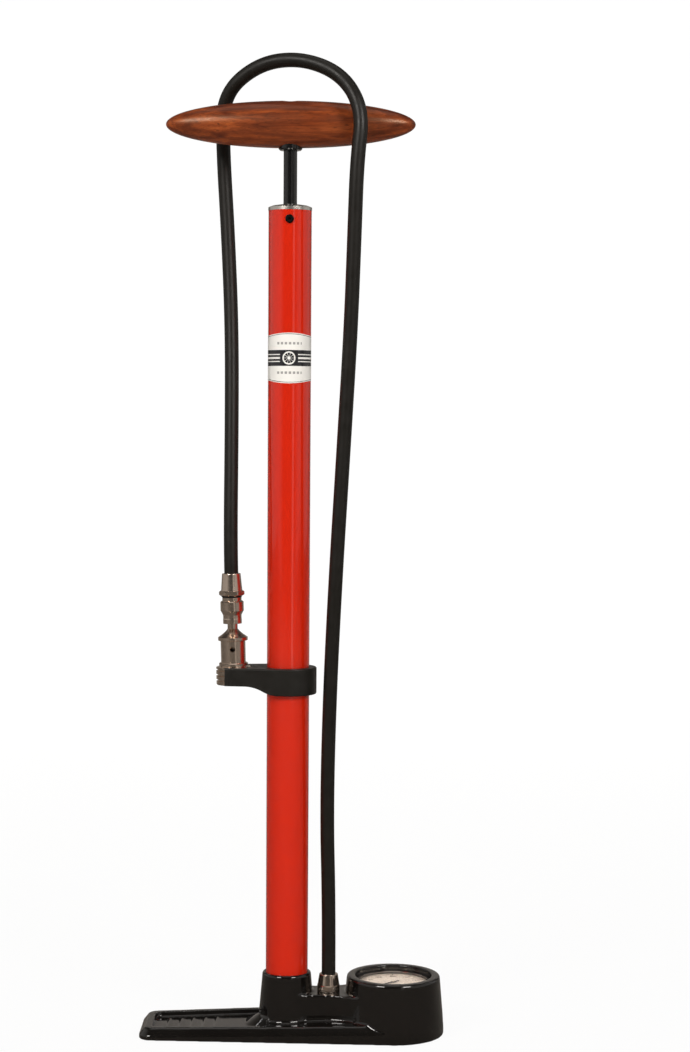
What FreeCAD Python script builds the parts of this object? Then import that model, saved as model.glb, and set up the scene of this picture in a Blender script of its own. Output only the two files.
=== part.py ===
"""Floor bike pump: a tubular barrel on a cast foot with a gauge, a wooden handle,
a hose hung over the handle and its screw-on chuck parked in a clamp on the barrel.

Millimetres. +Z is up, the barrel's axis is the Z axis and the feet rest on z = 0.
The foot plate reaches to -X, the gauge pod to +X, and the front faces -Y.
"""
import FreeCAD, Part
import Sketcher
import math
import os
import re

Vector = FreeCAD.Vector
doc = FreeCAD.newDocument("FloorPump")
sheet = doc.addObject("Spreadsheet::Sheet", "Sizes")

# ---------------------------------------------------------------- driving sizes
SIZES = {
    # barrel and its seal
    "barrel_diameter": 31.8, "barrel_wall": 1.6, "barrel_length": 599, "barrel_fit": 0.05,
    "socket_floor": 16, "seal_thick": 2, "seal_hole": 10,
    "barrel_top": "=socket_floor + seal_thick + barrel_length",
    "barrel_bore": "=barrel_diameter / 2 - barrel_wall",
    # cast foot
    "foot_proud": 0.8, "foot_radius": 6, "foot_thick": 2,
    "plate_left": 110.5, "plate_left_half": 29, "plate_pod_half": "=pod_foot_radius - 0.2",
    "plate_top": 12.4, "plate_slope": 1.6, "plate_corner": 10, "edge_inset": 4.4, "edge_drop": 5.4,
    "tray_rim": 5.4, "tray_depth": 3.6, "tray_corner": 5, "tray_end": 14,
    "rib_width": 1.6, "rib_height": 0.9, "rib_pitch": 9,
    "under_depth": 2.2, "under_wall": 4, "foot_boss": 8,
    "tower_top_radius": "=barrel_diameter / 2 + 2.4", "tower_foot_radius": "=tower_top_radius + 4.1",
    "tower_height": 48, "tower_round": 1.2,
    "well_radius": 28.8, "well_floor": 15, "pod_top_radius": "=well_radius + 6.4",
    "pod_foot_radius": "=pod_top_radius + 3.3", "pod_place": "=tower_top_radius + pod_foot_radius + 24.2",
    "pod_skirt": 8, "pod_height": 45.7, "pod_round": 1.6,
    "waist_arc": 48.4, "saddle_height": 32.8, "flare_radius": "=tower_foot_radius + 8.6", "flare_height": 18,
    "gallery_height": 9.5, "gallery_radius": 2, "plug_radius": 3, "plug_length": 8, "plug_sunk": 0.5,
    # check valve
    "valve_radius": 7, "valve_floor": 7, "valve_bore": 3.6, "seat_hole": 2, "seat_height": 14.5,
    "valve_lip_radius": 9.5, "valve_lip": 2.5, "valve_ball": 3, "ball_gap": 0.06,
    "ball_height": "=seat_height - ball_gap - sqrt(valve_ball^2 - seat_hole^2)",
    "valve_spring_radius": 2.3, "valve_wire": 0.25, "valve_port": 1.25,
    # plunger
    "rod_diameter": 10, "shaft_fit": 0.05, "tail_radius": 3, "tail_tip": 21, "shaft_slack": 0.5,
    "nut_flats": 10, "nut_height": 4.2, "follower_radius": "=barrel_bore - 2.3", "follower_thick": 1.8,
    "cup_leather": 1.7, "cup_skirt": 7, "piston_low": 29.2, "piston_height": 12,
    "guide_ring_height": 6, "guide_ring_depth": 2, "piston_gap": 0.15,
    # cap at the top of the barrel
    "cap_skirt": 14, "cap_rim": 2.4, "cap_dome": 2, "cap_proud": 0.2, "cap_hole": "=rod_diameter / 2 + 0.8",
    "bush_radius": "=rod_diameter / 2 + 3", "bush_height": 14.8,
    "bumper_radius": "=barrel_bore - 1.8", "bumper_thick": 6,
    "cap_screw_drop": 6.9, "cap_screw_thread": 1.5, "cap_screw_head": 3.15, "cap_screw_dome": 1.8,
    "cap_screw_length": 5, "cap_screw_socket": 1,
    # handle
    "handle_rise": 62.3, "handle_height": "=barrel_top + handle_rise",
    "handle_length": 183, "handle_diameter": 34.1, "handle_yaw": 2.3,
    "handle_socket": "=rod_diameter / 2 + 0.1",
    "rod_depth": 8.75, "rod_top": "=handle_height - handle_diameter / 2 + rod_depth",
    "saddle_washer_radius": "=rod_diameter / 2 + 3.7", "saddle_washer_drop": 1.65,
    "saddle_washer_low": "=handle_height - handle_diameter / 2 - saddle_washer_drop",
    "bolt_radius": 3, "bolt_head": 5, "bolt_head_height": 6, "bolt_reach": 20, "bolt_socket": 2.5,
    "counterbore": 6, "bolt_washer": 1,
    # gauge, from the glass downwards
    "case_radius": "=well_radius - 0.3", "case_wall": 1, "case_floor": "=well_floor + 0.5",
    "case_rim": "=pod_height - 6.7", "dial_top": "=case_rim - 0.6", "dial_thick": 0.6,
    "bezel_height": 1.9, "bezel_lip": 1.8, "lens_thick": 1.2, "gasket_thick": 0.6,
    "stem_radius": 4.8, "stem_fit": 0.05, "block_width": 12,
    "tube_radius": "=case_radius - 6", "tube_thick": 2.4, "tube_sweep": 250,
    "tube_high": "=dial_top - 2.9", "tube_low": "=tube_high - 8.5", "block_top": "=tube_low - 1",
    "gear_module": 0.3, "pinion_teeth": 10, "sector_teeth": 100, "gear_thick": 1,
    "frame_low": "=block_top + 0.8", "frame_high": "=frame_low + 6.2", "gear_low": "=frame_low + 2.6",
    "frame_plate": 1, "arbor_radius": 0.6,
    "needle_low": "=dial_top + 0.35", "needle_thick": 0.35, "needle_length": 21,
    # hose fittings on the foot
    "port_place": "=(tower_top_radius + pod_place - pod_top_radius) / 2 - 0.25",
    "port_radius": 8.6, "port_nut": 5.2, "port_stem": 4.9, "port_thread": 8.8,
    "port_bore": 5, "ferrule_low": 8.25, "ferrule_top": 6.95, "ferrule_height": 8.1, "air_way": 2,
    # hose
    "hose_diameter": 10.5,
    # parking clamp
    "clamp_low": 260.2, "clamp_height": 20.2, "clamp_radius": "=barrel_diameter / 2 + 5.5",
    "clamp_fit": 0.05, "clamp_slit": 1.6, "clamp_round": 1.1,
    "clamp_screw": 2, "clamp_head": 3.5, "clamp_head_height": 4,
    "clamp_screw_place": "=barrel_diameter / 2 + 8.3",
    "clamp_screw_height": "=clamp_low + clamp_height * 0.62",
    "dock_place": "=barrel_diameter / 2 + 24.75", "dock_bore": "=collar_radius + 0.3",
    "dock_radius": "=dock_bore + 3.3", "dock_low": "=clamp_low + 6.9", "dock_tip": "=dock_place + 6.2",
    "belly_start": "=dock_place - 8.6", "belly_end": "=barrel_diameter / 2 - 10.4",
    # chuck
    "collar_radius": 13.1, "collar_low": "=clamp_low + 6.7", "collar_height": 13.4, "collar_mouth": 4.8,
    "rib_groove": 1.1, "chuck_gasket_radius": 7, "chuck_gasket_height": 6, "valve_hole": 3.4,
    "chuck_flange_radius": 10.8, "chuck_flange": 2.2, "chuck_radius": 9.25, "chuck_thread": 9.4,
    "chuck_top": "=collar_low + 33", "chuck_cross_hole": 2, "chuck_cross_height": "=chuck_top - 6.2",
    "bell_radius": 11.1, "bell_rim": 2.9, "bell_cone": 5.8, "neck_radius": 3.8,
    "bell_top": "=chuck_top + 12.7", "bell_stem": 12,
    "coupling_low": 7, "coupling_radius": 7.2, "coupling_grip": 8.7, "coupling_height": 19.5,
    "coupling_ring": 1.5, "end_flats": 17, "end_flange": 3.6, "end_radius": 7.95,
    "end_top_radius": 6.9, "end_height": 12.9, "chuck_lean": 1.55,
    # decal
    "decal_thick": 0.1, "decal_height": 36.8, "decal_middle": "=barrel_top - 107.5", "decal_arc": 60,
    "decal_back": 5,
}

for row, alias in enumerate(SIZES, start=1):
    sheet.set(f"A{row}", alias.replace("_", " "))
    sheet.setAlias(f"B{row}", alias)
for row, number in enumerate(SIZES.values(), start=1):
    sheet.set(f"B{row}", str(number))
doc.recompute()


def sized(text):
    """An expression whose words are driving sizes, such as 'barrel_diameter / 2'."""
    def in_sheet(word):
        return "Sizes." + word[0] if word[0] in SIZES else word[0]
    return re.sub(r"[a-z][a-z_]+", in_sheet, str(text))


def value(text):
    return float(sheet.evalExpression(sized(text)))


# ---------------------------------------------------------------- ways of making a piece
def bind(thing, name, text):
    thing.setExpression(name, sized(text))


def place(thing, across="0", along="0", up="0"):
    for axis, text in zip("xyz", (across, along, up)):
        bind(thing, f"Placement.Base.{axis}", text)
    return thing


def sketch_on(body, role, points):
    """A closed outline of straight lines on one of the body's own planes."""
    sketch = body.newObject("Sketcher::SketchObject", "Outline")
    plane = [item for item in body.Origin.OriginFeatures if item.Role == role][0]
    sketch.AttachmentSupport = [(plane, "")]
    sketch.MapMode = "FlatFace"
    corners = [Vector(value(u), value(v), 0) for u, v in points]
    for start, end in zip(corners, corners[1:] + corners[:1]):
        sketch.addGeometry(Part.LineSegment(start, end), False)
    count = len(points)
    for index in range(count):
        sketch.addConstraint(Sketcher.Constraint("Coincident", index, 2, (index + 1) % count, 1))
    for index, (u, v) in enumerate(points):
        for kind, text, line in (("DistanceX", u, -2), ("DistanceY", v, -1)):
            if abs(value(text)) < 1e-9:
                sketch.addConstraint(Sketcher.Constraint("PointOnObject", index, 1, line))
                continue
            number = sketch.addConstraint(Sketcher.Constraint(kind, -1, 1, index, 1, value(text)))
            bind(sketch, f"Constraints[{number}]", text)
    return sketch


def lathe(label, profile, across="0", along="0", up="0"):
    """A turned piece: radius and height pairs, revolved about its own upright axis."""
    body = doc.addObject("PartDesign::Body", label)
    sketch = sketch_on(body, "XZ_Plane", profile)
    turned = body.newObject("PartDesign::Revolution", label + "_turned")
    turned.Profile = sketch
    turned.ReferenceAxis = (sketch, ["V_Axis"])
    turned.Angle = 360
    return place(body, across, along, up)


def prism(label, points, height, across="0", along="0", up="0"):
    """A flat outline on the ground plane, raised to a height."""
    body = doc.addObject("PartDesign::Body", label)
    raised = body.newObject("PartDesign::Pad", label + "_raised")
    raised.Profile = sketch_on(body, "XY_Plane", points)
    bind(raised, "Length", height)
    return place(body, across, along, up)


def slab(label, points, depth):
    """An outline on the upright XZ plane, thickened to both sides of it."""
    body = doc.addObject("PartDesign::Body", label)
    raised = body.newObject("PartDesign::Pad", label + "_raised")
    raised.Profile = sketch_on(body, "XZ_Plane", points)
    raised.SideType = "Symmetric"
    bind(raised, "Length", depth)
    return body


def dress(body, kind, pick, **sizes):
    """A fillet or chamfer on the edges of the body's last feature that pick accepts."""
    doc.recompute()
    base = body.Tip
    names = [f"Edge{number}" for number, edge in enumerate(base.Shape.Edges, start=1) if pick(edge)]
    feature = body.newObject("PartDesign::" + kind, kind)
    if kind == "Chamfer" and len(sizes) > 1:
        feature.ChamferType = "Two distances"
    feature.Base = (base, names)
    for name, text in sizes.items():
        bind(feature, name, text)
    return body


def rim(radius, height, slack=0.02):
    """Accepts the circle of a turned piece with this radius at this height."""
    def is_rim(edge):
        circle = edge.Curve
        if not hasattr(circle, "Radius"):
            return False
        level = abs(circle.Axis.z) > 0.99 and abs(circle.Center.z - value(height)) < slack
        return level and abs(circle.Radius - value(radius)) < slack
    return is_rim


def rod(name, radius, height, across="0", along="0", up="0", axis=None, angle=0):
    """A plain cylinder, upright unless it is turned about an axis."""
    piece = doc.addObject("Part::Cylinder", name)
    bind(piece, "Radius", radius)
    bind(piece, "Height", height)
    if axis:
        piece.Placement.Rotation = FreeCAD.Rotation(Vector(*axis), angle)
    return place(piece, across, along, up)


def block(name, length, width, height, across, along, up):
    piece = doc.addObject("Part::Box", name)
    for side, text in (("Length", length), ("Width", width), ("Height", height)):
        bind(piece, side, text)
    return place(piece, across, along, up)


def hexagon(name, flats, height, across="0", along="0", up="0"):
    piece = doc.addObject("Part::Prism", name)
    piece.Polygon = 6
    bind(piece, "Circumradius", f"({flats}) / sqrt(3)")
    bind(piece, "Height", height)
    return place(piece, across, along, up)


def join(name, pieces):
    whole = doc.addObject("Part::MultiFuse", name)
    whole.Shapes = pieces
    whole.Refine = True
    return whole


def cut(name, piece, tools):
    result = doc.addObject("Part::Cut", name)
    result.Base = piece
    result.Tool = tools[0] if len(tools) == 1 else join(name + "_tools", tools)
    return result


def common(name, piece, other):
    result = doc.addObject("Part::Common", name)
    result.Base = piece
    result.Tool = other
    return result


def bent_path(points):
    """Straight runs joined by tangent arcs, each as large as its two runs allow."""
    spots = [Vector(*point) for point in points]
    edges, radii, start = [], [], spots[0]
    for before, corner, after in zip(spots, spots[1:], spots[2:]):
        inward, outward = (corner - before), (after - corner)
        turn = inward.getAngle(outward)
        reach = 0.45 * min(inward.Length, outward.Length)
        leave, join_at = corner - inward.normalize() * reach, corner + outward.normalize() * reach
        radius = reach / math.tan(turn / 2)
        radii.append(radius)
        bisector = (leave + join_at) * 0.5 - corner
        crown = corner + bisector.normalize() * (radius / math.cos(turn / 2) - radius)
        edges.append(Part.LineSegment(start, leave).toShape())
        edges.append(Part.Arc(leave, crown, join_at).toShape())
        start = join_at
    edges.append(Part.LineSegment(start, spots[-1]).toShape())
    return Part.Wire(edges), radii


def swept_round(path, radius):
    """A round rod or wire along a path."""
    first = path.Edges[0]
    circle = Part.Circle(first.Vertexes[0].Point, first.tangentAt(first.FirstParameter), radius)
    return path.makePipeShell([Part.Wire([circle.toShape()])], True, False)


nodes = {}


def keep(label, piece):
    """Names a finished sub-part after its file."""
    piece.Label = label
    nodes[label] = piece
    return piece


# ---------------------------------------------------------------- cast foot
def plate_half(at, inset="0"):
    """Half the plate's width at a distance along X, less an inset."""
    taper = "(plate_pod_half - plate_left_half) / (pod_place + plate_left)"
    return f"plate_left_half + ({at} + plate_left) * {taper} - ({inset})"


def plate_outline(inset, right):
    """The plate's tapered outline, from its left end to a place on the right."""
    left = f"-plate_left + ({inset})"
    near_left, near_right = plate_half(left, inset), plate_half(right, inset)
    return [(left, f"-({near_left})"), (right, f"-({near_right})"), (right, near_right), (left, near_left)]


def sloped(level, at):
    """Height at a distance along X of a plane that rises towards the barrel."""
    return f"{level} + ({at}) * tan(plate_slope)"


FAR = "200"
GRIP_RIBS = 5


def above_plane(level, lowered="0"):
    """The outline, on the upright plane, of all that lies above a plane that rises like the plate's top."""
    left, right = (f"{sloped(level, at)} - ({lowered})" for at in (f"-{FAR}", FAR))
    return [(f"-{FAR}", left), (FAR, right), (FAR, FAR), (f"-{FAR}", FAR)]


def upright_at_left(inset):
    """Accepts the two upright corner edges at the plate's left end."""
    def is_corner(edge):
        first, last = edge.Vertexes[0].Point, edge.Vertexes[-1].Point
        upright = abs(first.x - last.x) < 1e-4 and abs(first.y - last.y) < 1e-4
        return upright and abs(first.x + value("plate_left") - value(inset)) < 0.01
    return is_corner


def is_plate_top(edge):
    """Accepts the outer edges of the plate's sloping top, but not its right end."""
    heights = [point.Point.z + value("foot_proud") for point in edge.Vertexes]
    places = [point.Point.x for point in edge.Vertexes]
    on_top = all(abs(high - value(sloped("plate_top", str(at)))) < 0.01 for high, at in zip(heights, places))
    return on_top and min(places) < value("pod_place") - 0.01


def make_plate():
    body = prism("plate", plate_outline("0", "pod_place"), "30", up="foot_proud")
    slope = body.newObject("PartDesign::Pocket", "plate_slope_cut")
    slope.Profile = sketch_on(body, "XZ_Plane", above_plane("plate_top", "foot_proud"))
    slope.Type = "ThroughAll"
    slope.SideType = "Symmetric"
    dress(body, "Fillet", upright_at_left("0"), Radius="plate_corner")
    dress(body, "Chamfer", is_plate_top, Size="edge_drop", Size2="edge_inset")
    return body


def make_tray():
    """The shallow recess that the foot stands in, with its floor along the plate's slope."""
    inset = "edge_inset + tray_rim"
    body = prism("tray_plan", plate_outline(inset, "-tray_end"), "60")
    dress(body, "Fillet", upright_at_left(inset), Radius="tray_corner")
    return body


def make_base_casting():
    tray_plan = make_tray()
    tray_floor = "plate_top - tray_depth"
    tray = common("tray", tray_plan, slab("above_tray_floor", above_plane(tray_floor), FAR))
    plate = cut("plate_with_tray", make_plate(), [tray])
    flare = doc.addObject("Part::Cone", "flare")
    bind(flare, "Radius1", "flare_radius")
    bind(flare, "Radius2", "tower_top_radius")
    bind(flare, "Height", f"flare_height - ({tray_floor})")
    place(flare, up=sloped(tray_floor, "-flare_radius"))
    gusset = common("gusset", flare, make_tray())
    ribs = []
    for number in range(GRIP_RIBS):
        at = f"-plate_left + edge_inset + tray_rim + rib_pitch * {number + 1.2}"
        half = plate_half(at, "edge_inset + tray_rim + 5")
        low = "under_depth + foot_proud"
        up_to = f"{sloped(tray_floor, at)} + rib_height - ({low})"
        ribs.append(block(f"grip_rib_{number}", "rib_width", f"2 * ({half})", up_to, at, f"-({half})", low))
    tower = lathe("tower", [("0", "foot_proud"), ("tower_foot_radius", "foot_proud"),
                            ("tower_top_radius", "tower_height"), ("0", "tower_height")])
    dress(tower, "Fillet", rim("tower_top_radius", "tower_height"), Radius="tower_round")
    pod = lathe("pod",
                [("0", "foot_proud"), ("pod_foot_radius", "foot_proud"), ("pod_foot_radius", "pod_skirt"),
                        ("pod_top_radius", "pod_height"), ("0", "pod_height")], across="pod_place")
    dress(pod, "Fillet", rim("pod_top_radius", "pod_height"), Radius="pod_round")
    # One arc on each side bounds the waist. It touches tower and pod at the saddle's height, so that the
    # waist's ends lie inside both cones lower down.
    tower_share = "(saddle_height - foot_proud) / (tower_height - foot_proud)"
    tower_here = f"(tower_foot_radius - (tower_foot_radius - tower_top_radius) * {tower_share} - barrel_fit)"
    pod_share = "(saddle_height - pod_skirt) / (pod_height - pod_skirt)"
    pod_here = f"(pod_foot_radius - (pod_foot_radius - pod_top_radius) * {pod_share} - barrel_fit)"
    reach = f"(pod_place^2 + ({tower_here} + waist_arc)^2 - ({pod_here} + waist_arc)^2) / (2 * pod_place)"
    aside = f"sqrt(({tower_here} + waist_arc)^2 - ({reach})^2)"
    near = f"{tower_here} / ({tower_here} + waist_arc)"
    far = f"{pod_here} / ({pod_here} + waist_arc)"
    web_end = f"pod_place - (pod_place - ({reach})) * {far}"
    web_start = f"({reach}) * {near}"
    half = f"({aside}) * {far}"
    web = block("web", f"({web_end}) - ({web_start})", f"2 * ({half})", "saddle_height - foot_proud",
                web_start, f"-({half})", "foot_proud")
    scoops = [rod(f"waist_{side}", "waist_arc", "saddle_height", reach, f"{sign} * ({aside})")
              for side, sign in (("front", -1), ("back", 1))]
    saddle = cut("saddle", web, scoops)
    solid = join("foot_solid", [plate, gusset, tower, pod, saddle] + ribs)
    # Hollows: barrel socket, valve bore, hose port, gauge well, stem bore, air gallery and underside.
    socket = rod("barrel_socket", "barrel_diameter / 2 + barrel_fit", "tower_height", up="socket_floor")
    valve = rod("valve_pocket", "valve_radius", "socket_floor", up="valve_floor")
    port = rod("port_hole", "port_bore", "saddle_height", "port_place", up="gallery_height")
    well = rod("gauge_well", "well_radius", "pod_height", "pod_place", up="well_floor")
    stem = rod("stem_hole", "stem_radius + stem_fit", "well_floor", "pod_place", up="gallery_height")
    gallery = rod("gallery", "gallery_radius", "pod_place + pod_foot_radius + 1", up="gallery_height",
                  axis=(0, 1, 0), angle=90)
    plug = rod("plug_hole", "plug_radius", "plug_length + 2", PLUG_START, up="gallery_height",
               axis=(0, 1, 0), angle=90)
    under_plate = prism("under_plate", plate_outline("edge_inset + under_wall", "pod_place"), "under_depth",
                        up="foot_proud")
    under_pod = rod("under_pod", "pod_foot_radius - under_wall", "under_depth", "pod_place", up="foot_proud")
    islands = [rod("barrel_island", "tower_top_radius", "under_depth", up="foot_proud")]
    islands += [rod(f"foot_island_{number}", "foot_boss", "under_depth", across, along, "foot_proud")
                for number, (across, along) in enumerate(FEET)]
    underside = cut("underside", join("under_all", [under_plate, under_pod]), islands)
    pads = [rod(f"foot_pocket_{number}", "foot_radius + barrel_fit", "foot_thick", across, along)
            for number, (across, along) in enumerate(FEET)]
    hollow = [socket, valve, port, well, stem, gallery, plug, underside] + pads
    keep("base_casting", cut("base_casting", solid, hollow))


PLUG_START = "pod_place + pod_foot_radius - plug_length - plug_sunk"
FEET = [("0", "0"),
        ("-plate_left + 15", "-plate_left_half + 13"), ("-plate_left + 15", "plate_left_half - 13"),
        ("pod_place + 12", "-pod_foot_radius / 2 - 3"), ("pod_place + 12", "pod_foot_radius / 2 + 3")]


def make_feet():
    pads = [rod(f"foot_{number}", "foot_radius", "foot_thick", across, along)
            for number, (across, along) in enumerate(FEET)]
    pads_together = doc.addObject("Part::Compound", "rubber_feet")
    pads_together.Links = pads
    keep("rubber_feet", pads_together)


def make_gallery_plug():
    blank = rod("plug_blank", "plug_radius", "plug_length", PLUG_START, up="gallery_height",
                axis=(0, 1, 0), angle=90)
    key = hexagon("plug_key", "3", "3", up="gallery_height")
    key.Placement.Rotation = FreeCAD.Rotation(Vector(0, 1, 0), 90)
    place(key, "pod_place + pod_foot_radius - 3", up="gallery_height")
    keep("gallery_plug", cut("gallery_plug", blank, [key]))


# ---------------------------------------------------------------- barrel, seal and check valve
BARREL_FOOT = "socket_floor + seal_thick"
BARREL_OUT = "barrel_diameter / 2"
CAP_SCREW_LEVEL = "barrel_top - cap_screw_drop"
CAP_SCREWS = 2


def around(count, make):
    """Pieces repeated about the barrel's axis, the first one facing the front."""
    pieces = []
    for number in range(count):
        piece = make(number)
        turn = FreeCAD.Rotation(Vector(0, 0, 1), 360 * number / count)
        piece.Placement = FreeCAD.Placement(Vector(), turn).multiply(piece.Placement)
        pieces.append(piece)
    return pieces


def radial_rod(name, radius, start, length):
    """A cylinder that points out to the front at the height of the cap's screws."""
    piece = doc.addObject("Part::Cylinder", name)
    bind(piece, "Radius", radius)
    bind(piece, "Height", length)
    spot = Vector(0, -value(start), value(CAP_SCREW_LEVEL))
    piece.Placement = FreeCAD.Placement(spot, FreeCAD.Rotation(Vector(1, 0, 0), 90))
    return piece


def make_barrel():
    tube = lathe("barrel_tube", [("barrel_bore", BARREL_FOOT), (BARREL_OUT, BARREL_FOOT),
                                 (BARREL_OUT, "barrel_top"),
                                 ("barrel_bore", "barrel_top")])
    holes = around(CAP_SCREWS,
                   lambda number: radial_rod(f"barrel_hole_{number}", "cap_screw_thread + barrel_fit",
                                                "barrel_diameter / 4", "barrel_diameter / 2"))
    keep("barrel", cut("barrel", tube, holes))
    keep("barrel_seal", lathe("barrel_seal", [("seal_hole", "socket_floor"), (BARREL_OUT, "socket_floor"),
                                              (BARREL_OUT, BARREL_FOOT), ("seal_hole", BARREL_FOOT)]))


SPRING_TURNS = 4
SPRING_CORNERS = 10
SPRING_SLACK = 0.12


def make_check_valve():
    top = "socket_floor + valve_lip"
    shell = lathe("valve_shell", [
        ("valve_bore", "valve_floor"), ("valve_radius", "valve_floor"), ("valve_radius", "socket_floor"),
        ("valve_lip_radius", "socket_floor"), ("valve_lip_radius", top), ("seat_hole", top),
        ("seat_hole", "seat_height"), ("valve_bore", "seat_height")])
    ports = [rod(f"valve_port_{number}", "valve_port", "2 * valve_radius + 2", up="gallery_height",
                 axis=(0, 1, 0), angle=90) for number in range(2)]
    bind(ports[0], "Placement.Base.x", "-valve_radius - 1")
    ports[1].Placement = FreeCAD.Placement(Vector(0, value("valve_radius") + 1, value("gallery_height")),
                                           FreeCAD.Rotation(Vector(1, 0, 0), 90))
    bind(ports[1], "Placement.Base.y", "valve_radius + 1")
    keep("check_valve_body", cut("check_valve_body", shell, ports))
    ball = doc.addObject("Part::Sphere", "check_ball")
    bind(ball, "Radius", "valve_ball")
    place(ball, up="ball_height")
    keep("check_ball", ball)
    touch = value("ball_height - sqrt((valve_ball + valve_wire)^2 - valve_spring_radius^2)")
    low = value("valve_floor + valve_wire") + SPRING_SLACK
    rise = (touch - SPRING_SLACK - low) / (SPRING_TURNS * SPRING_CORNERS)
    corner_radius = value("valve_spring_radius") / math.cos(math.pi / SPRING_CORNERS)
    coil = []
    for number in range(SPRING_TURNS * SPRING_CORNERS + 1):
        angle = 2 * math.pi * number / SPRING_CORNERS
        coil.append((corner_radius * math.cos(angle), corner_radius * math.sin(angle), low + rise * number))
    spring = doc.addObject("Part::Feature", "check_spring")
    spring.Shape = swept_round(bent_path(coil)[0], value("valve_wire"))
    keep("check_spring", spring)


# ---------------------------------------------------------------- plunger
CUP_LOW = "piston_low - cup_leather - cup_skirt"
CUP_UNDER = "piston_low - cup_leather"
TAIL_HOLE = "tail_radius + shaft_fit"
PISTON_OUT = "barrel_bore - piston_gap"
RING_OUT = "barrel_bore - shaft_fit"


def make_piston():
    groove_low = "piston_low + (piston_height - guide_ring_height) / 2"
    groove_high = f"{groove_low} + guide_ring_height"
    groove = f"{PISTON_OUT} - guide_ring_depth"
    high = "piston_low + piston_height"
    keep("piston_body", lathe("piston_body", [
        (TAIL_HOLE, "piston_low"), (PISTON_OUT, "piston_low"), (PISTON_OUT, groove_low), (groove, groove_low),
        (groove, groove_high), (PISTON_OUT, groove_high), (PISTON_OUT, high), (TAIL_HOLE, high)]))
    keep("piston_guide_ring", lathe("piston_guide_ring", [
        (groove, groove_low), (RING_OUT, groove_low), (RING_OUT, groove_high), (groove, groove_high)]))
    inside = f"{RING_OUT} - cup_leather"
    keep("piston_cup", lathe("piston_cup", [
        (TAIL_HOLE, CUP_UNDER), (inside, CUP_UNDER), (inside, CUP_LOW), (RING_OUT, CUP_LOW),
        (RING_OUT, "piston_low"), (TAIL_HOLE, "piston_low")]))
    keep("cup_follower", lathe("cup_follower", [
        (TAIL_HOLE, f"{CUP_UNDER} - follower_thick"), ("follower_radius", f"{CUP_UNDER} - follower_thick"),
        ("follower_radius", CUP_UNDER), (TAIL_HOLE, CUP_UNDER)]))


def make_rod():
    shoulder = "piston_low + piston_height + shaft_fit"
    blank = lathe("rod_blank", [("0", "tail_tip"), ("tail_radius", "tail_tip"), ("tail_radius", shoulder),
                                ("rod_diameter / 2", shoulder), ("rod_diameter / 2", "rod_top"),
                                ("0", "rod_top")])
    thread = rod("rod_thread", "bolt_radius", "bolt_reach + 1", up="rod_top - bolt_reach")
    keep("rod", cut("rod", blank, [thread]))
    under = f"{CUP_UNDER} - follower_thick - shaft_fit - nut_height"
    nut = hexagon("nut_blank", "nut_flats", "nut_height", up=under)
    keep("piston_nut", cut("piston_nut", nut, [rod("nut_thread", "tail_radius", "nut_height", up=under)]))


# ---------------------------------------------------------------- barrel cap
CAP_UNDER = "barrel_top - cap_skirt"


def make_cap():
    seat = "barrel_top + cap_rim - cap_dome"
    outside = f"{BARREL_OUT} + cap_proud"
    blank = lathe("cap_blank", [
        ("bush_radius", CAP_UNDER), ("barrel_bore - barrel_fit", CAP_UNDER),
        ("barrel_bore - barrel_fit", "barrel_top"), (outside, "barrel_top"),
        (outside, "barrel_top + cap_rim"),
        (f"{outside} - 3", "barrel_top + cap_rim + cap_dome * 0.6"),
        ("cap_hole + 2", "barrel_top + cap_rim + cap_dome"),
        ("cap_hole", "barrel_top + cap_rim + cap_dome"), ("cap_hole", f"{CAP_UNDER} + bush_height"),
        ("bush_radius", f"{CAP_UNDER} + bush_height")])
    threads = around(CAP_SCREWS,
                     lambda number: radial_rod(f"cap_thread_{number}", "cap_screw_thread", "bush_radius + 1",
                                                  "barrel_diameter"))
    keep("barrel_cap", cut("barrel_cap", blank, threads))
    keep("rod_bush", lathe("rod_bush", [
        ("rod_diameter / 2 + shaft_fit", CAP_UNDER), ("bush_radius", CAP_UNDER),
        ("bush_radius", f"{CAP_UNDER} + bush_height"),
        ("rod_diameter / 2 + shaft_fit", f"{CAP_UNDER} + bush_height")]))
    keep("rod_bumper", lathe("rod_bumper", [
        ("rod_diameter / 2 + 0.5", f"{CAP_UNDER} - bumper_thick"),
        ("bumper_radius", f"{CAP_UNDER} - bumper_thick"),
        ("bumper_radius", CAP_UNDER), ("rod_diameter / 2 + 0.5", CAP_UNDER)]))


def make_cap_screw(number):
    head = "cap_screw_length"
    body = lathe(f"cap_screw_{number}", [
        ("0", "0"), ("cap_screw_thread", "0"), ("cap_screw_thread", head), ("cap_screw_head", head),
        ("cap_screw_head", f"{head} + cap_screw_dome * 0.45"),
        ("cap_screw_head * 0.72", f"{head} + cap_screw_dome"),
        ("0", f"{head} + cap_screw_dome")])
    dress(body, "Fillet", rim("cap_screw_head", f"{head} + cap_screw_dome * 0.45"), Radius="0.5")
    doc.recompute()
    key = hexagon(f"cap_key_{number}", "2 * cap_screw_socket", "cap_screw_dome", up=f"{head} + 0.5")
    screw = cut(f"cap_screw_cut_{number}", body, [key])
    start = value(f"{BARREL_OUT} + 0.05 - cap_screw_length")
    spot = Vector(0, -start, value(CAP_SCREW_LEVEL))
    screw.Placement = FreeCAD.Placement(spot, FreeCAD.Rotation(Vector(1, 0, 0), 90))
    return screw


def make_cap_screws():
    group = doc.addObject("Part::Compound", "cap_screws")
    group.Links = around(CAP_SCREWS, make_cap_screw)
    keep("cap_screws", group)


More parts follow.
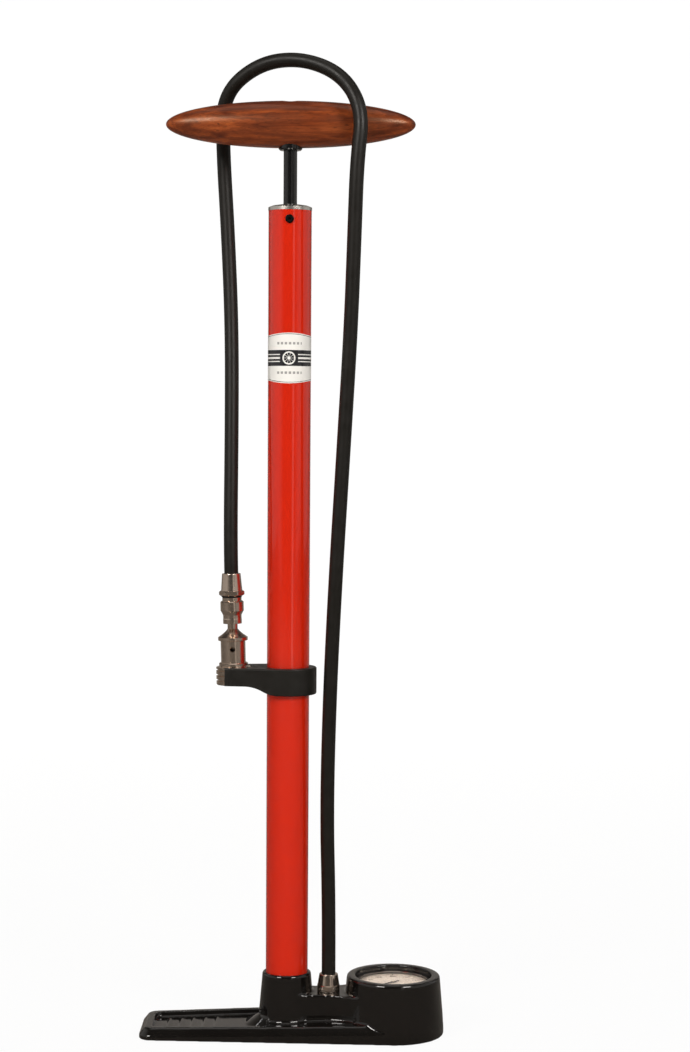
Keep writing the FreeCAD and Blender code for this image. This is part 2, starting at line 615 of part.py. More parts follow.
# ---------------------------------------------------------------- handle
def make_handle():
    egg = doc.addObject("Part::Ellipsoid", "handle_blank")
    bind(egg, "Radius1", "handle_diameter / 2")
    bind(egg, "Radius2", "handle_length / 2")
    bind(egg, "Radius3", "handle_diameter / 2")
    egg.Placement.Rotation = FreeCAD.Rotation(Vector(0, 0, 1), -value("handle_yaw"))
    place(egg, up="handle_height")
    head_seat = "handle_height + handle_diameter / 2 - bolt_head_height - bolt_washer - 1"
    bore = rod("handle_bore", "bolt_radius + 0.2", "handle_diameter",
               up="handle_height - handle_diameter / 2")
    seat = rod("handle_counterbore", "counterbore", "handle_diameter", up=head_seat)
    socket = rod("handle_rod_socket", "handle_socket", "handle_diameter", up="rod_top - handle_diameter")
    keep("handle", cut("handle", egg, [bore, seat, socket]))
    inside = "handle_height - handle_diameter / 2 + 5"
    ring = lathe("saddle_ring", [
        ("rod_diameter / 2 + shaft_fit", "saddle_washer_low"),
        ("saddle_washer_radius - 1", "saddle_washer_low"),
        ("saddle_washer_radius", "saddle_washer_low + 1"), ("saddle_washer_radius", inside),
        ("rod_diameter / 2 + shaft_fit", inside)])
    copy = doc.addObject("Part::Ellipsoid", "handle_form")
    bind(copy, "Radius1", "handle_diameter / 2")
    bind(copy, "Radius2", "handle_length / 2")
    bind(copy, "Radius3", "handle_diameter / 2")
    copy.Placement.Rotation = egg.Placement.Rotation
    place(copy, up="handle_height")
    keep("handle_saddle_washer", cut("handle_saddle_washer", ring, [copy]))
    washer = lathe("bolt_washer_ring", [
        ("bolt_radius + 0.2", head_seat), ("counterbore - 0.2", head_seat),
        ("counterbore - 0.2", f"{head_seat} + bolt_washer"),
        ("bolt_radius + 0.2", f"{head_seat} + bolt_washer")])
    keep("handle_bolt_washer", washer)
    under_head = f"{head_seat} + bolt_washer"
    top = f"{under_head} + bolt_head_height"
    bolt = lathe("bolt_blank",
                 [("0", "rod_top - bolt_reach + 0.5"), ("bolt_radius", "rod_top - bolt_reach + 0.5"),
                                ("bolt_radius", under_head), ("bolt_head", under_head),
                  ("bolt_head", top), ("0", top)])
    dress(bolt, "Chamfer", rim("bolt_head", top), Size="0.4")
    key = hexagon("bolt_key", "2 * bolt_socket", "bolt_head_height", up=f"{top} - 3")
    keep("handle_bolt", cut("handle_bolt", bolt, [key]))


# ---------------------------------------------------------------- gauge
GAUGE = "pod_place"
PINION_R = "gear_module * pinion_teeth / 2"
SECTOR_R = "gear_module * sector_teeth / 2"
SECTOR_TURN = 340
TUBE_END = 265


def make_gauge_shell():
    inside = "case_radius - case_wall"
    shell = lathe("gauge_case_shell", [
        ("stem_radius + stem_fit", "case_floor"), ("case_radius", "case_floor"), ("case_radius", "case_rim"),
        (inside, "case_rim"), (inside, "dial_top - dial_thick"), (f"{inside} - 1", "dial_top - dial_thick"),
        (f"{inside} - 1", "dial_top - dial_thick - 1"), (inside, "dial_top - dial_thick - 2"),
        (inside, "case_floor + case_wall"), ("stem_radius + stem_fit", "case_floor + case_wall")], GAUGE)
    keep("gauge_case", shell)
    keep("gauge_dial", lathe("gauge_dial", [
        ("arbor_radius + 0.3", "dial_top - dial_thick"), (f"{inside} - 0.1", "dial_top - dial_thick"),
        (f"{inside} - 0.1", "dial_top"), ("arbor_radius + 0.3", "dial_top")], GAUGE))
    lens_low = "case_rim + gasket_thick"
    glass = "case_radius - 1.1"
    keep("lens_gasket", lathe("lens_gasket", [
        (f"{glass} - bezel_lip + 0.3", "case_rim"), (glass, "case_rim"), (glass, lens_low),
        (f"{glass} - bezel_lip + 0.3", lens_low)], GAUGE))
    keep("gauge_lens", lathe("gauge_lens", [
        ("0", lens_low), (glass, lens_low), (glass, f"{lens_low} + lens_thick"),
        ("0", f"{lens_low} + lens_thick")],
        GAUGE))
    top = f"{lens_low} + lens_thick"
    keep("gauge_bezel", lathe("gauge_bezel", [
        (glass, "case_rim"), ("case_radius", "case_rim"), ("case_radius", f"{top} + 0.3"),
        ("case_radius - 0.5", f"{top} + 0.8"), (f"{glass} - bezel_lip + 0.5", f"{top} + 0.8"),
        (f"{glass} - bezel_lip", f"{top} + 0.3"), (f"{glass} - bezel_lip", top), (glass, top)], GAUGE))


def make_gauge_socket():
    floor = "case_floor + case_wall"
    stem = rod("stem", "stem_radius", f"{floor} - gallery_height - 0.5", GAUGE, up="gallery_height + 0.5")
    half = "block_width / 2"
    middle = block("socket_block", "block_width", "block_width", f"block_top - ({floor})",
                   f"pod_place - {half}", f"-{half}", floor)
    arm = block("socket_arm", "5", "tube_radius + 2", f"block_top - ({floor})", "pod_place - 2.5",
                "-tube_radius - 2", floor)
    post = block("socket_post", "5", "4.5", f"tube_high - ({floor})", "pod_place - 2.5",
                 "-tube_radius - 2.25", floor)
    bore = rod("stem_way", "1.2", "15", GAUGE, up="gallery_height")
    keep("gauge_socket", cut("gauge_socket", join("socket_solid", [stem, middle, arm, post]), [bore]))
    keep("stem_seal", lathe("stem_seal", [
        ("stem_radius + stem_fit", "well_floor"), ("stem_radius + 2.5", "well_floor"),
        ("stem_radius + 2.5", "case_floor"), ("stem_radius + stem_fit", "case_floor")], GAUGE))
    ring = lathe("bourdon_ring", [
        ("tube_radius - tube_thick / 2", "tube_low"), ("tube_radius + tube_thick / 2", "tube_low"),
        ("tube_radius + tube_thick / 2", "tube_high"), ("tube_radius - tube_thick / 2", "tube_high")], GAUGE)
    bind(ring.Tip, "Angle", "tube_sweep")
    ring.Placement.Rotation = FreeCAD.Rotation(Vector(0, 0, 1), TUBE_END - value("tube_sweep"))
    keep("bourdon_tube", ring)


def pivot_spot():
    reach = value(PINION_R) + value(SECTOR_R)
    turn = math.radians(SECTOR_TURN)
    return Vector(value(GAUGE) + reach * math.cos(turn), reach * math.sin(turn), 0)


def toothed(radius, teeth, first, last, hub):
    """A flat outline of pointed teeth about its own centre, closed through the hub."""
    tall, deep = value("gear_module") * 0.65, value("gear_module") * 1.15
    pitch = 2 * math.pi / teeth
    points = []
    for number in range(first, last + 1):
        middle = number * pitch
        for turn, reach in ((-0.26, -deep), (-0.09, tall), (0.09, tall), (0.26, -deep)):
            angle = middle + turn * pitch
            points.append(Vector((radius + reach) * math.cos(angle), (radius + reach) * math.sin(angle), 0))
    return points + hub + points[:1]


def flat_piece(points, low, thick):
    face = Part.Face(Part.makePolygon(points))
    solid = face.extrude(Vector(0, 0, thick))
    solid.translate(Vector(0, 0, low))
    return solid


def make_movement():
    low, thick = value("gear_low"), value("gear_thick")
    arbor = value("arbor_radius")
    radius = value(SECTOR_R)
    pivot = pivot_spot()
    # sector: its teeth point at the pinion, and its tail points away from it
    hub = [Vector(-2.5, 2, 0), Vector(-4.2, 1.2, 0), Vector(-4.2, -1.2, 0), Vector(-2.5, -2, 0)]
    fan = flat_piece(toothed(radius, int(value("sector_teeth")), -8, 3, hub), low, thick)
    window = Part.makeCylinder(2.4, thick * 3, Vector(8.5, -1.4, low - thick))
    staff = Part.makeCylinder(arbor, value("frame_high - frame_low + frame_plate * 2") - 0.4,
                              Vector(0, 0, value("frame_low") + 0.2))
    sector = fan.cut(window).fuse(staff).removeSplitter()
    face_pinion = FreeCAD.Rotation(Vector(0, 0, 1), SECTOR_TURN - 180)
    gear = doc.addObject("Part::Feature", "sector_gear")
    gear.Shape = sector
    gear.Placement = FreeCAD.Placement(pivot, face_pinion)
    keep("sector_gear", gear)
    # link from the sector's tail to the tip of the pressure tube, left open at the tip
    tail = gear.Placement.multVec(Vector(-3.3, 0, 0))
    tip_turn = math.radians(TUBE_END - value("tube_sweep") - 6)
    tip = Vector(value(GAUGE) + value("tube_radius - tube_thick / 2 - 1.3") * math.cos(tip_turn),
                 value("tube_radius - tube_thick / 2 - 1.3") * math.sin(tip_turn), 0)
    along = (tip - tail).normalize()
    side = Vector(-along.y, along.x, 0) * 0.9
    bar = [tail - side - along, tip - side, tip + side, tail + side - along, tail - side - along]
    link = doc.addObject("Part::Feature", "gauge_link")
    link.Shape = flat_piece(bar, low + thick, 0.6)
    keep("gauge_link", link)
    # pinion arbor: a tooth gap faces the sector
    teeth = int(value("pinion_teeth"))
    wheel = flat_piece(toothed(value(PINION_R), teeth, 0, teeth - 1, []), low - 0.3, thick + 0.6)
    spindle = Part.makeCylinder(arbor, value("needle_low + needle_thick + 0.3") - value("frame_low") - 0.2,
                                Vector(0, 0, value("frame_low") + 0.2))
    pinion = doc.addObject("Part::Feature", "pinion_arbor")
    pinion.Shape = wheel.fuse(spindle).removeSplitter()
    facing_gap = FreeCAD.Rotation(Vector(0, 0, 1), SECTOR_TURN + 180 / teeth)
    pinion.Placement = FreeCAD.Placement(Vector(value(GAUGE), 0, 0), facing_gap)
    keep("pinion_arbor", pinion)


def make_movement_frame():
    pivot = pivot_spot()
    middle = Vector(value(GAUGE), 0, 0)
    out = (pivot - middle).normalize()
    side = Vector(-out.y, out.x, 0)
    pieces = []
    for level in ("frame_low", "frame_high"):
        corners = [middle - out * 5 + side * 5.5, pivot + out * 2.2 + side * 5.5,
                   pivot + out * 2.2 - side * 5.5, middle - out * 5 - side * 5.5]
        pieces.append(flat_piece(corners + corners[:1], value(level), value("frame_plate")))
    tall = value("frame_high - frame_low + frame_plate")
    for spot in (middle - out * 3.6 + side * 4.2, middle - out * 3.6 - side * 4.2):
        pieces.append(Part.makeCylinder(1, tall, spot + Vector(0, 0, value("frame_low"))))
    foot = Part.makeCylinder(2, value("frame_low - block_top"),
                             middle - out * 3.6 + Vector(0, 0, value("block_top")))
    frame = pieces[0].multiFuse(pieces[1:] + [foot])
    hole = value("arbor_radius") + 0.05
    for spot in (middle, pivot):
        frame = frame.cut(Part.makeCylinder(hole, tall + 4, spot + Vector(0, 0, value("frame_low") - 0.01)))
    shape = doc.addObject("Part::Feature", "movement_frame")
    shape.Shape = frame.removeSplitter()
    keep("movement_frame", shape)


def make_needle():
    low, thick = value("needle_low"), value("needle_thick")
    reach = value("needle_length")
    blade = [Vector(-6, 0.9, 0), Vector(0, 1.1, 0), Vector(reach, 0.25, 0), Vector(reach, -0.25, 0),
             Vector(0, -1.1, 0), Vector(-6, -0.9, 0), Vector(-6, 0.9, 0)]
    hub = Part.makeCylinder(2, thick, Vector(0, 0, low))
    bore = Part.makeCylinder(value("arbor_radius"), 5, Vector(0, 0, low - 2))
    needle = doc.addObject("Part::Feature", "needle")
    needle.Shape = flat_piece(blade, low, thick).fuse(hub).cut(bore).removeSplitter()
    needle.Placement = FreeCAD.Placement(Vector(value(GAUGE), 0, 0), FreeCAD.Rotation(Vector(0, 0, 1), -135))
    keep("needle", needle)


# ---------------------------------------------------------------- hose fittings on the foot
FERRULE_LOW = "saddle_height + port_nut"
HOSE_EXIT = f"{FERRULE_LOW} + ferrule_height"


def make_port():
    stem_low = "saddle_height - port_thread"
    fitting = lathe("hose_port_fitting", [
        ("air_way", stem_low), ("port_stem", stem_low), ("port_stem", "saddle_height"),
        ("port_radius", "saddle_height"), ("port_radius", f"{FERRULE_LOW} - 0.6"),
        ("port_radius - 0.6", FERRULE_LOW), ("air_way", FERRULE_LOW)], "port_place")
    dress(fitting, "Fillet", rim("port_radius", "saddle_height"), Radius="0.4")
    keep("hose_port_fitting", fitting)
    ferrule = lathe("hose_foot_ferrule", [
        ("air_way", FERRULE_LOW), ("ferrule_low", FERRULE_LOW), ("ferrule_top", HOSE_EXIT),
        ("air_way", HOSE_EXIT)],
        "port_place")
    dress(ferrule, "Fillet", rim("ferrule_top", HOSE_EXIT), Radius="0.5")
    keep("hose_foot_ferrule", ferrule)


# ---------------------------------------------------------------- parking clamp
def make_belly():
    """What is taken off under the cradle: a flat, then two equal arcs that lead down to the ring."""
    start, end = -value("belly_start"), -value("belly_end")
    high, low = value("dock_low"), value("clamp_low")
    across, drop = (end - start) / 2, (high - low) / 2
    radius = (across ** 2 + drop ** 2) / (2 * drop)
    turn = math.asin(across / radius) / 2
    dip, fall = radius * math.sin(turn), radius * (1 - math.cos(turn))
    corners = [(-value(FAR), low - 1), (-value(FAR), high), (start, high), (start + across, high - drop),
               (end, low), (end, low - 1)]
    spots = [Vector(x, 0, z) for x, z in corners]
    first = Part.Arc(spots[2], Vector(start + dip, 0, high - fall), spots[3]).toShape()
    second = Part.Arc(spots[3], Vector(end - dip, 0, low + fall), spots[4]).toShape()
    sides = [Part.makeLine(spots[0], spots[1]), Part.makeLine(spots[1], spots[2]), first, second,
             Part.makeLine(spots[4], spots[5]), Part.makeLine(spots[5], spots[0])]
    deep = value("clamp_radius") * 4
    belly = doc.addObject("Part::Feature", "belly")
    belly.Shape = Part.Face(Part.Wire(sides)).extrude(Vector(0, deep, 0))
    belly.Placement.Base.y = -deep / 2
    return belly


def make_clamp():
    ring = rod("clamp_ring", "clamp_radius", "clamp_height", up="clamp_low")
    cradle = rod("dock_ring", "dock_radius", "clamp_height", "-dock_place", up="clamp_low")
    # The flanks run between the two rounds along their common tangents.
    lean = "(clamp_radius - dock_radius) / dock_place"
    flank = [(f"-clamp_radius * {lean}", f"clamp_radius * sqrt(1 - ({lean})^2)"),
             (f"-dock_place - dock_radius * {lean}", f"dock_radius * sqrt(1 - ({lean})^2)")]
    outline = flank + [(across, f"-({along})") for across, along in reversed(flank)]
    bridge = prism("clamp_bridge", outline, "clamp_height", up="clamp_low")
    blank = join("clamp_blank", [ring, cradle, bridge])
    doc.recompute()
    flat = [number for number, edge in enumerate(blank.Shape.Edges, start=1) if edge.BoundBox.ZLength < 1e-3]
    rounded = doc.addObject("Part::Fillet", "clamp_rounded")
    rounded.Base = blank
    rounded.Edges = [(number, value("clamp_round"), value("clamp_round")) for number in flat]
    bore = rod("clamp_bore", "barrel_diameter / 2 + clamp_fit", "clamp_height", up="clamp_low")
    pocket = rod("dock_bore", "dock_bore", "clamp_height", "-dock_place", up="clamp_low")
    mouth = block("dock_mouth", "clamp_radius * 2", "clamp_radius * 4", "clamp_height",
                  "-dock_tip - clamp_radius * 2", "-clamp_radius * 2", "clamp_low")
    slit = block("clamp_slit", "dock_place - barrel_diameter / 2", "clamp_slit", "clamp_height",
                 "-dock_place", "-clamp_slit / 2", "clamp_low")
    thread = rod("clamp_thread", "clamp_screw", "dock_radius * 2", "-clamp_screw_place",
                 "dock_radius * 2 - 10",
                 "clamp_screw_height", axis=(1, 0, 0), angle=90)
    head = rod("clamp_head_seat", "clamp_head + 0.2", "clamp_radius", "-clamp_screw_place",
               "clamp_radius + 11",
               "clamp_screw_height", axis=(1, 0, 0), angle=90)
    keep("dock_clamp", cut("dock_clamp", rounded, [bore, pocket, mouth, slit, make_belly(), thread, head]))
    level = "clamp_screw_height"
    shank = rod("clamp_shank", "clamp_screw", "20", "-clamp_screw_place", "11", level, axis=(1, 0, 0),
                angle=90)
    cap = rod("clamp_cap", "clamp_head", "clamp_head_height", "-clamp_screw_place",
              "11 + clamp_head_height", level,
              axis=(1, 0, 0), angle=90)
    key = hexagon("clamp_key", "3", "3")
    key.Placement.Rotation = FreeCAD.Rotation(Vector(1, 0, 0), 90)
    place(key, "-clamp_screw_place", "11 + clamp_head_height + 0.5", level)
    keep("clamp_screw", cut("clamp_screw", join("clamp_screw_blank", [shank, cap]), [key]))


# ---------------------------------------------------------------- chuck on the hose's free end
COLLAR_MIDDLE = "(collar_low + collar_height / 2)"
COLLAR_TOP = "collar_low + collar_height"
END_LOW = "bell_top + coupling_height + coupling_ring"
HOSE_END = f"{END_LOW} + end_flange + end_height"


def in_dock(label, piece):
    """Keeps a chuck piece and leans it in the dock, about the middle of the collar."""
    piece.Placement.Rotation = FreeCAD.Rotation(Vector(0, 1, 0), -value("chuck_lean"))
    aside, lift = f"{COLLAR_MIDDLE} * sin(chuck_lean)", f"{COLLAR_MIDDLE} * (1 - cos(chuck_lean))"
    place(piece, f"-dock_place + {aside}", "0", lift)
    keep(label, piece)


def on_chuck_axis(height):
    """A point on the leaning chuck's axis."""
    above = value(f"{height} - {COLLAR_MIDDLE}")
    lean = math.radians(value("chuck_lean"))
    return (-value("dock_place") - above * math.sin(lean), 0, value(COLLAR_MIDDLE) + above * math.cos(lean))


def make_chuck():
    # The ribbed collar screws on from below and squeezes the rubber gasket.
    ribs = [("collar_mouth", "collar_low"), ("collar_radius - 0.6", "collar_low"),
            ("collar_radius", "collar_low + 0.6")]
    for number in range(3):
        low = f"collar_low + collar_height * {(number + 0.72) / 3.45}"
        high = f"{low} + 1.6"
        ribs += [("collar_radius", low), ("collar_radius - rib_groove", f"{low} + 0.4"),
                 ("collar_radius - rib_groove", f"{high} - 0.4"), ("collar_radius", high)]
    gasket_top = "collar_low + 1.5 + chuck_gasket_height"
    ribs += [("collar_radius", f"{COLLAR_TOP} - 0.4"), ("collar_radius - 0.4", COLLAR_TOP),
             ("chuck_thread", COLLAR_TOP), ("chuck_thread", gasket_top), ("chuck_gasket_radius", gasket_top),
             ("chuck_gasket_radius", "collar_low + 1.5"), ("collar_mouth", "collar_low + 1.5")]
    in_dock("chuck_collar", lathe("chuck_collar", ribs))
    in_dock("chuck_gasket", lathe("chuck_gasket", [
        ("valve_hole", "collar_low + 1.5"), ("chuck_gasket_radius", "collar_low + 1.5"),
        ("chuck_gasket_radius", gasket_top), ("valve_hole", gasket_top)]))
    flange_low = f"{COLLAR_TOP} + 0.8"
    flange_top = f"{flange_low} + chuck_flange"
    shell = lathe("chuck_shell", [
        ("valve_hole", gasket_top), ("chuck_thread", gasket_top), ("chuck_thread", flange_low),
        ("chuck_flange_radius", flange_low), ("chuck_flange_radius", f"{flange_top} - 0.5"),
        ("chuck_flange_radius - 0.5", flange_top), ("chuck_radius", flange_top),
        ("chuck_radius", "chuck_top"),
        ("valve_hole", "chuck_top")])
    hole = rod("chuck_cross", "chuck_cross_hole", "chuck_radius * 2", "0", up="chuck_cross_height",
               axis=(1, 0, 0), angle=90)
    in_dock("chuck_body", cut("chuck_body", shell, [hole]))
    rim_top = "chuck_top + bell_rim"
    in_dock("chuck_bell", lathe("chuck_bell", [
        ("air_way", "chuck_top"), ("bell_radius - 0.4", "chuck_top"), ("bell_radius", "chuck_top + 0.4"),
        ("bell_radius", f"{rim_top} - 0.4"), ("bell_radius - 0.6", rim_top),
        ("neck_radius + 5.6", f"{rim_top} + bell_cone * 0.12"),
        ("neck_radius + 3.4", f"{rim_top} + bell_cone * 0.4"),
        ("neck_radius + 1.4", f"{rim_top} + bell_cone * 0.72"), ("neck_radius", f"{rim_top} + bell_cone"),
        ("neck_radius", "bell_top"), ("neck_radius", "bell_top + bell_stem"),
        ("air_way", "bell_top + bell_stem")]))
    # The coupling turns freely on the stem so that the chuck screws on without twisting the hose.
    grip = "bell_top + coupling_height * 0.46"
    top = "bell_top + coupling_height"
    in_dock("coupling_nut", lathe("coupling_nut", [
        ("neck_radius", "bell_top"), ("coupling_low", "bell_top"), ("coupling_low", "bell_top + 3.2"),
        ("coupling_radius - 0.3", "bell_top + 4"), ("coupling_radius - 0.3", "bell_top + 6.4"),
        ("coupling_radius", "bell_top + 7"), ("coupling_grip - 0.5", grip),
        ("coupling_grip", f"{grip} + 0.6"),
        ("coupling_grip", f"{grip} + 7.2"), ("coupling_grip - 0.7", f"{grip} + 7.9"),
        ("coupling_radius", f"{grip} + 8.2"), ("coupling_radius", top), ("air_way", top),
        ("air_way", "bell_top + bell_stem"), ("neck_radius", "bell_top + bell_stem")]))
    in_dock("coupling_seal", lathe("coupling_seal", [
        ("air_way", top), ("coupling_radius - 0.4", top),
        ("coupling_radius + 0.7", f"{top} + coupling_ring / 2"),
        ("coupling_radius - 0.4", END_LOW), ("air_way", END_LOW)]))
    flange = hexagon("end_hex", "end_flats", "end_flange", "0", up=END_LOW)
    trim = lathe("end_hex_trim", [("0", END_LOW), ("end_flats / 2", END_LOW),
                                  ("end_flats / 2 + 1", f"{END_LOW} + 0.7"),
                                  ("end_flats / 2 + 1", f"{END_LOW} + end_flange - 0.7"),
                                  ("end_flats / 2", f"{END_LOW} + end_flange"),
                                  ("0", f"{END_LOW} + end_flange")])
    taper = lathe("end_taper", [("0", f"{END_LOW} + end_flange"), ("end_radius", f"{END_LOW} + end_flange"),
                                ("end_top_radius", HOSE_END), ("0", HOSE_END)])
    dress(taper, "Fillet", rim("end_top_radius", HOSE_END), Radius="0.5")
    way = rod("end_way", "air_way", f"{HOSE_END}")
    whole = join("end_solid", [common("end_hex_round", flange, trim), taper])
    in_dock("hose_end_ferrule", cut("hose_end_ferrule", whole, [way]))


# ---------------------------------------------------------------- hose
# From the port on the foot, up in front of the handle, over it, and down behind it to the chuck.
# Its first two and last two points come from the fittings. The rest were drawn for the first handle height.
HOSE_POINTS = [
    (29.6, -3, 170), (31.4, -10, 261), (35.3, -16, 350.5), (40.2, -20, 439), (45.1, -24, 529.5),
    (47.3, -28, 600), (48.7, -30.5, 650), (52.8, -28.5, 686), (38, -17.5, 713), (8, -4.5, 726.5),
    (-24, 8.5, 724.2), (-50.2, 20, 703.5), (-51.2, 29.5, 668), (-46.9, 27.5, 600), (-43.6, 20, 530),
    (-43.1, 9.5, 455),
]
HOSE_DRAWN_FOR = 679.3
HOSE_RISES_FROM, HOSE_RISEN_BY = 360, 600
FOOT_RUN, CHUCK_RUN = 50, 24


def make_hose():
    lift = value("handle_height") - HOSE_DRAWN_FOR
    points = [(value("port_place"), 0, value(f"{HOSE_EXIT} + {extra}")) for extra in (0, FOOT_RUN)]
    for x, y, z in HOSE_POINTS:
        share = min(max((z - HOSE_RISES_FROM) / (HOSE_RISEN_BY - HOSE_RISES_FROM), 0), 1)
        points.append((x, y, z + lift * share))
    points += [on_chuck_axis(f"{HOSE_END} + {extra}") for extra in (CHUCK_RUN, 0)]
    path, radii = bent_path(points)
    radius = value("hose_diameter / 2")
    tube = swept_round(path, radius)
    expected = math.pi * radius ** 2 * path.Length
    print(f"hose: {path.Length:.1f} mm along its middle, volume {tube.Volume:.0f} of {expected:.0f} mm3")
    print("hose arc radii:", ", ".join(f"{radius:.0f}" for radius in radii))
    runs = [(Vector(*b) - Vector(*a)).Length for a, b in zip(points, points[1:])]
    print("hose runs:", ", ".join(f"{run:.0f}" for run in runs))
    hose = doc.addObject("Part::Feature", "hose")
    hose.Shape = tube
    keep("hose", hose)


# ---------------------------------------------------------------- decal
def make_decal():
    tall = "decal_height / 2"
    shell = lathe("decal_shell", [
        (BARREL_OUT, f"decal_middle - ({tall}) - 5"),
        (f"{BARREL_OUT} + decal_thick", f"decal_middle - ({tall}) - 5"),
        (f"{BARREL_OUT} + decal_thick", f"decal_middle + {tall} + 5"),
        (BARREL_OUT, f"decal_middle + {tall} + 5")])
    upper = rod("decal_upper", "decal_arc", "barrel_diameter * 2", "0", "decal_back",
                f"decal_middle + {tall} - decal_arc", axis=(1, 0, 0), angle=90)
    lower = rod("decal_lower", "decal_arc", "barrel_diameter * 2", "0", "decal_back",
                f"decal_middle - ({tall}) + decal_arc", axis=(1, 0, 0), angle=90)
    keep("barrel_decal", common("barrel_decal", shell, common("decal_form", upper, lower)))


def check(thing):
    """Stops with a plain message if an object failed to build."""
    bad = [state for state in thing.State if state in ("Invalid", "Error")]
    if bad:
        raise RuntimeError(f"{thing.Name} ({thing.Label}) is {bad}")


for build in (make_base_casting, make_feet, make_gallery_plug, make_barrel, make_check_valve, make_piston,
              make_rod,
              make_cap, make_cap_screws, make_handle, make_gauge_shell, make_gauge_socket, make_movement,
              make_movement_frame, make_needle, make_port, make_clamp, make_chuck, make_hose, make_decal):
    build()
doc.recompute()
for item in doc.Objects:
    check(item)
os.makedirs("parts", exist_ok=True)
for label, piece in nodes.items():
    shape = piece.Shape
    if shape.isNull() or not shape.isValid() or not shape.Solids:
        raise RuntimeError(f"{label} has no valid solid")
    shape.exportStep(f"parts/{label}.step")
print(len(nodes), "nodes written")
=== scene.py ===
# %% [markdown]
# # A floor bike pump
# A track pump stands on a cast foot. A red tube rises from it, a black rod with a turned
# wooden handle comes out of the top, and a rubber hose is hung over the handle with its
# chuck parked in a clamp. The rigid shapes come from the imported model, so this lesson is
# mostly about how the pieces look: paint, wood, rubber, plated brass, glass and print.

import math

import bpy
from mathutils import Euler, Matrix, Vector


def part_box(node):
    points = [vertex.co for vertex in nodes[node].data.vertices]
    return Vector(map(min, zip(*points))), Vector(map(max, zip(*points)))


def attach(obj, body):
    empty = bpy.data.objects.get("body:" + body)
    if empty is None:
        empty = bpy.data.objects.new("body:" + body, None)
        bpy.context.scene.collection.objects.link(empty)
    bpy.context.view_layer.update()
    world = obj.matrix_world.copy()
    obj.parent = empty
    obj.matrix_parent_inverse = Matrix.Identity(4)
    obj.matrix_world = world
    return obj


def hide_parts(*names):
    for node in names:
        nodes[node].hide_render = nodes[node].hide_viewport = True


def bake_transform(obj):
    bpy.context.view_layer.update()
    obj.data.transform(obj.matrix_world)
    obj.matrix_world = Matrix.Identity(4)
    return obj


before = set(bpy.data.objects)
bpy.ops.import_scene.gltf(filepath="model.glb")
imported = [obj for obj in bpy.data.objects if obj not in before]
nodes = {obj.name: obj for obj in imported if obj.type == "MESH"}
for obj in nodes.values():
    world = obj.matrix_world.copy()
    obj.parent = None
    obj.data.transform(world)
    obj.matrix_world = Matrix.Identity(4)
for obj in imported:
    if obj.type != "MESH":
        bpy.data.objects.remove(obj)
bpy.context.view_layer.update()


# %% Helpers for whole pieces
MERGE_DISTANCE = 0.00001


def only(*pieces):
    """Selects these pieces and nothing else, the first one active."""
    bpy.ops.object.select_all(action="DESELECT")
    for piece in pieces:
        piece.select_set(True)
    bpy.context.view_layer.objects.active = pieces[0]


def copy_of(piece, name):
    """A copy with its own mesh."""
    twin = piece.copy()
    twin.data = piece.data.copy()
    twin.name = name
    bpy.context.collection.objects.link(twin)
    return twin


def merge_points(turn_out=False):
    """Joins points of the active piece that lie on each other, and can turn its faces outwards."""
    bpy.ops.object.mode_set(mode="EDIT")
    bpy.ops.mesh.select_all(action="SELECT")
    bpy.ops.mesh.remove_doubles(threshold=MERGE_DISTANCE)
    if turn_out:
        bpy.ops.mesh.normals_make_consistent(inside=False)
    bpy.ops.object.mode_set(mode="OBJECT")


def wear(piece, material):
    """Takes off a piece's old materials and puts one on."""
    piece.data.materials.clear()
    piece.data.materials.append(material)


print("helpers for pieces ready")


# %% [markdown]
# ## The camera
# A product picture of something tall and thin is taken from far away with a long lens, so
# that the tube's sides stay parallel. The camera stands a little above the middle of the
# pump and looks slightly down, and its frame is shifted up to hold the whole pump without
# tilting further.

# %% Place the camera
bpy.ops.object.select_all(action="DESELECT")
bpy.ops.object.camera_add(location=(0.0425, -1.682, 0.471))
camera = bpy.context.object
camera.name = "portrait_camera"
LOOK_DOWN = math.radians(5.8)
LEAN = math.radians(0.41)
turned = Euler((math.pi / 2 - LOOK_DOWN, 0, 0)).to_matrix() @ Matrix.Rotation(LEAN, 3, "Z")
camera.rotation_euler = turned.to_euler()
camera.data.sensor_fit = "VERTICAL"
camera.data.sensor_height = 36
camera.data.lens = 77.3
camera.data.shift_y = 0.109
camera.data.clip_end = 50
bpy.context.scene.camera = camera
print("camera at", tuple(round(place, 3) for place in camera.location))


# %% [markdown]
# ## The hose
# The hose is about 1.13 m of 10.5 mm rubber tube. It stands straight up out of the ferrule on
# the foot, leans in front of the handle, goes over it in one stiff arch, and comes down
# behind it to the chuck. A NURBS curve through a few guiding points gives a line with no
# kinks, which is how a stiff hose bends. The curve is read once without thickness, for the
# line itself, and once with thickness, for the tube.

# %% Draw the hose's line
HOSE_RADIUS = 0.00525
HOSE_GUIDES = [
    (0.0318, 0, 0.0461), (0.0318, 0, 0.0961), (0.0296, -0.003, 0.170), (0.0314, -0.010, 0.261),
    (0.0353, -0.016, 0.3505), (0.0402, -0.020, 0.439), (0.0451, -0.024, 0.5295),
    (0.0473, -0.028, 0.600), (0.0487, -0.0305, 0.650), (0.0528, -0.0285, 0.686),
    (0.038, -0.0175, 0.713), (0.008, -0.0045, 0.7265), (-0.024, 0.0085, 0.7242),
    (-0.0502, 0.020, 0.7035), (-0.0512, 0.0295, 0.668), (-0.0469, 0.0275, 0.600),
    (-0.0436, 0.020, 0.530), (-0.0431, 0.0095, 0.455), (-0.0434, 0, 0.3741), (-0.0427, 0, 0.3501),
]

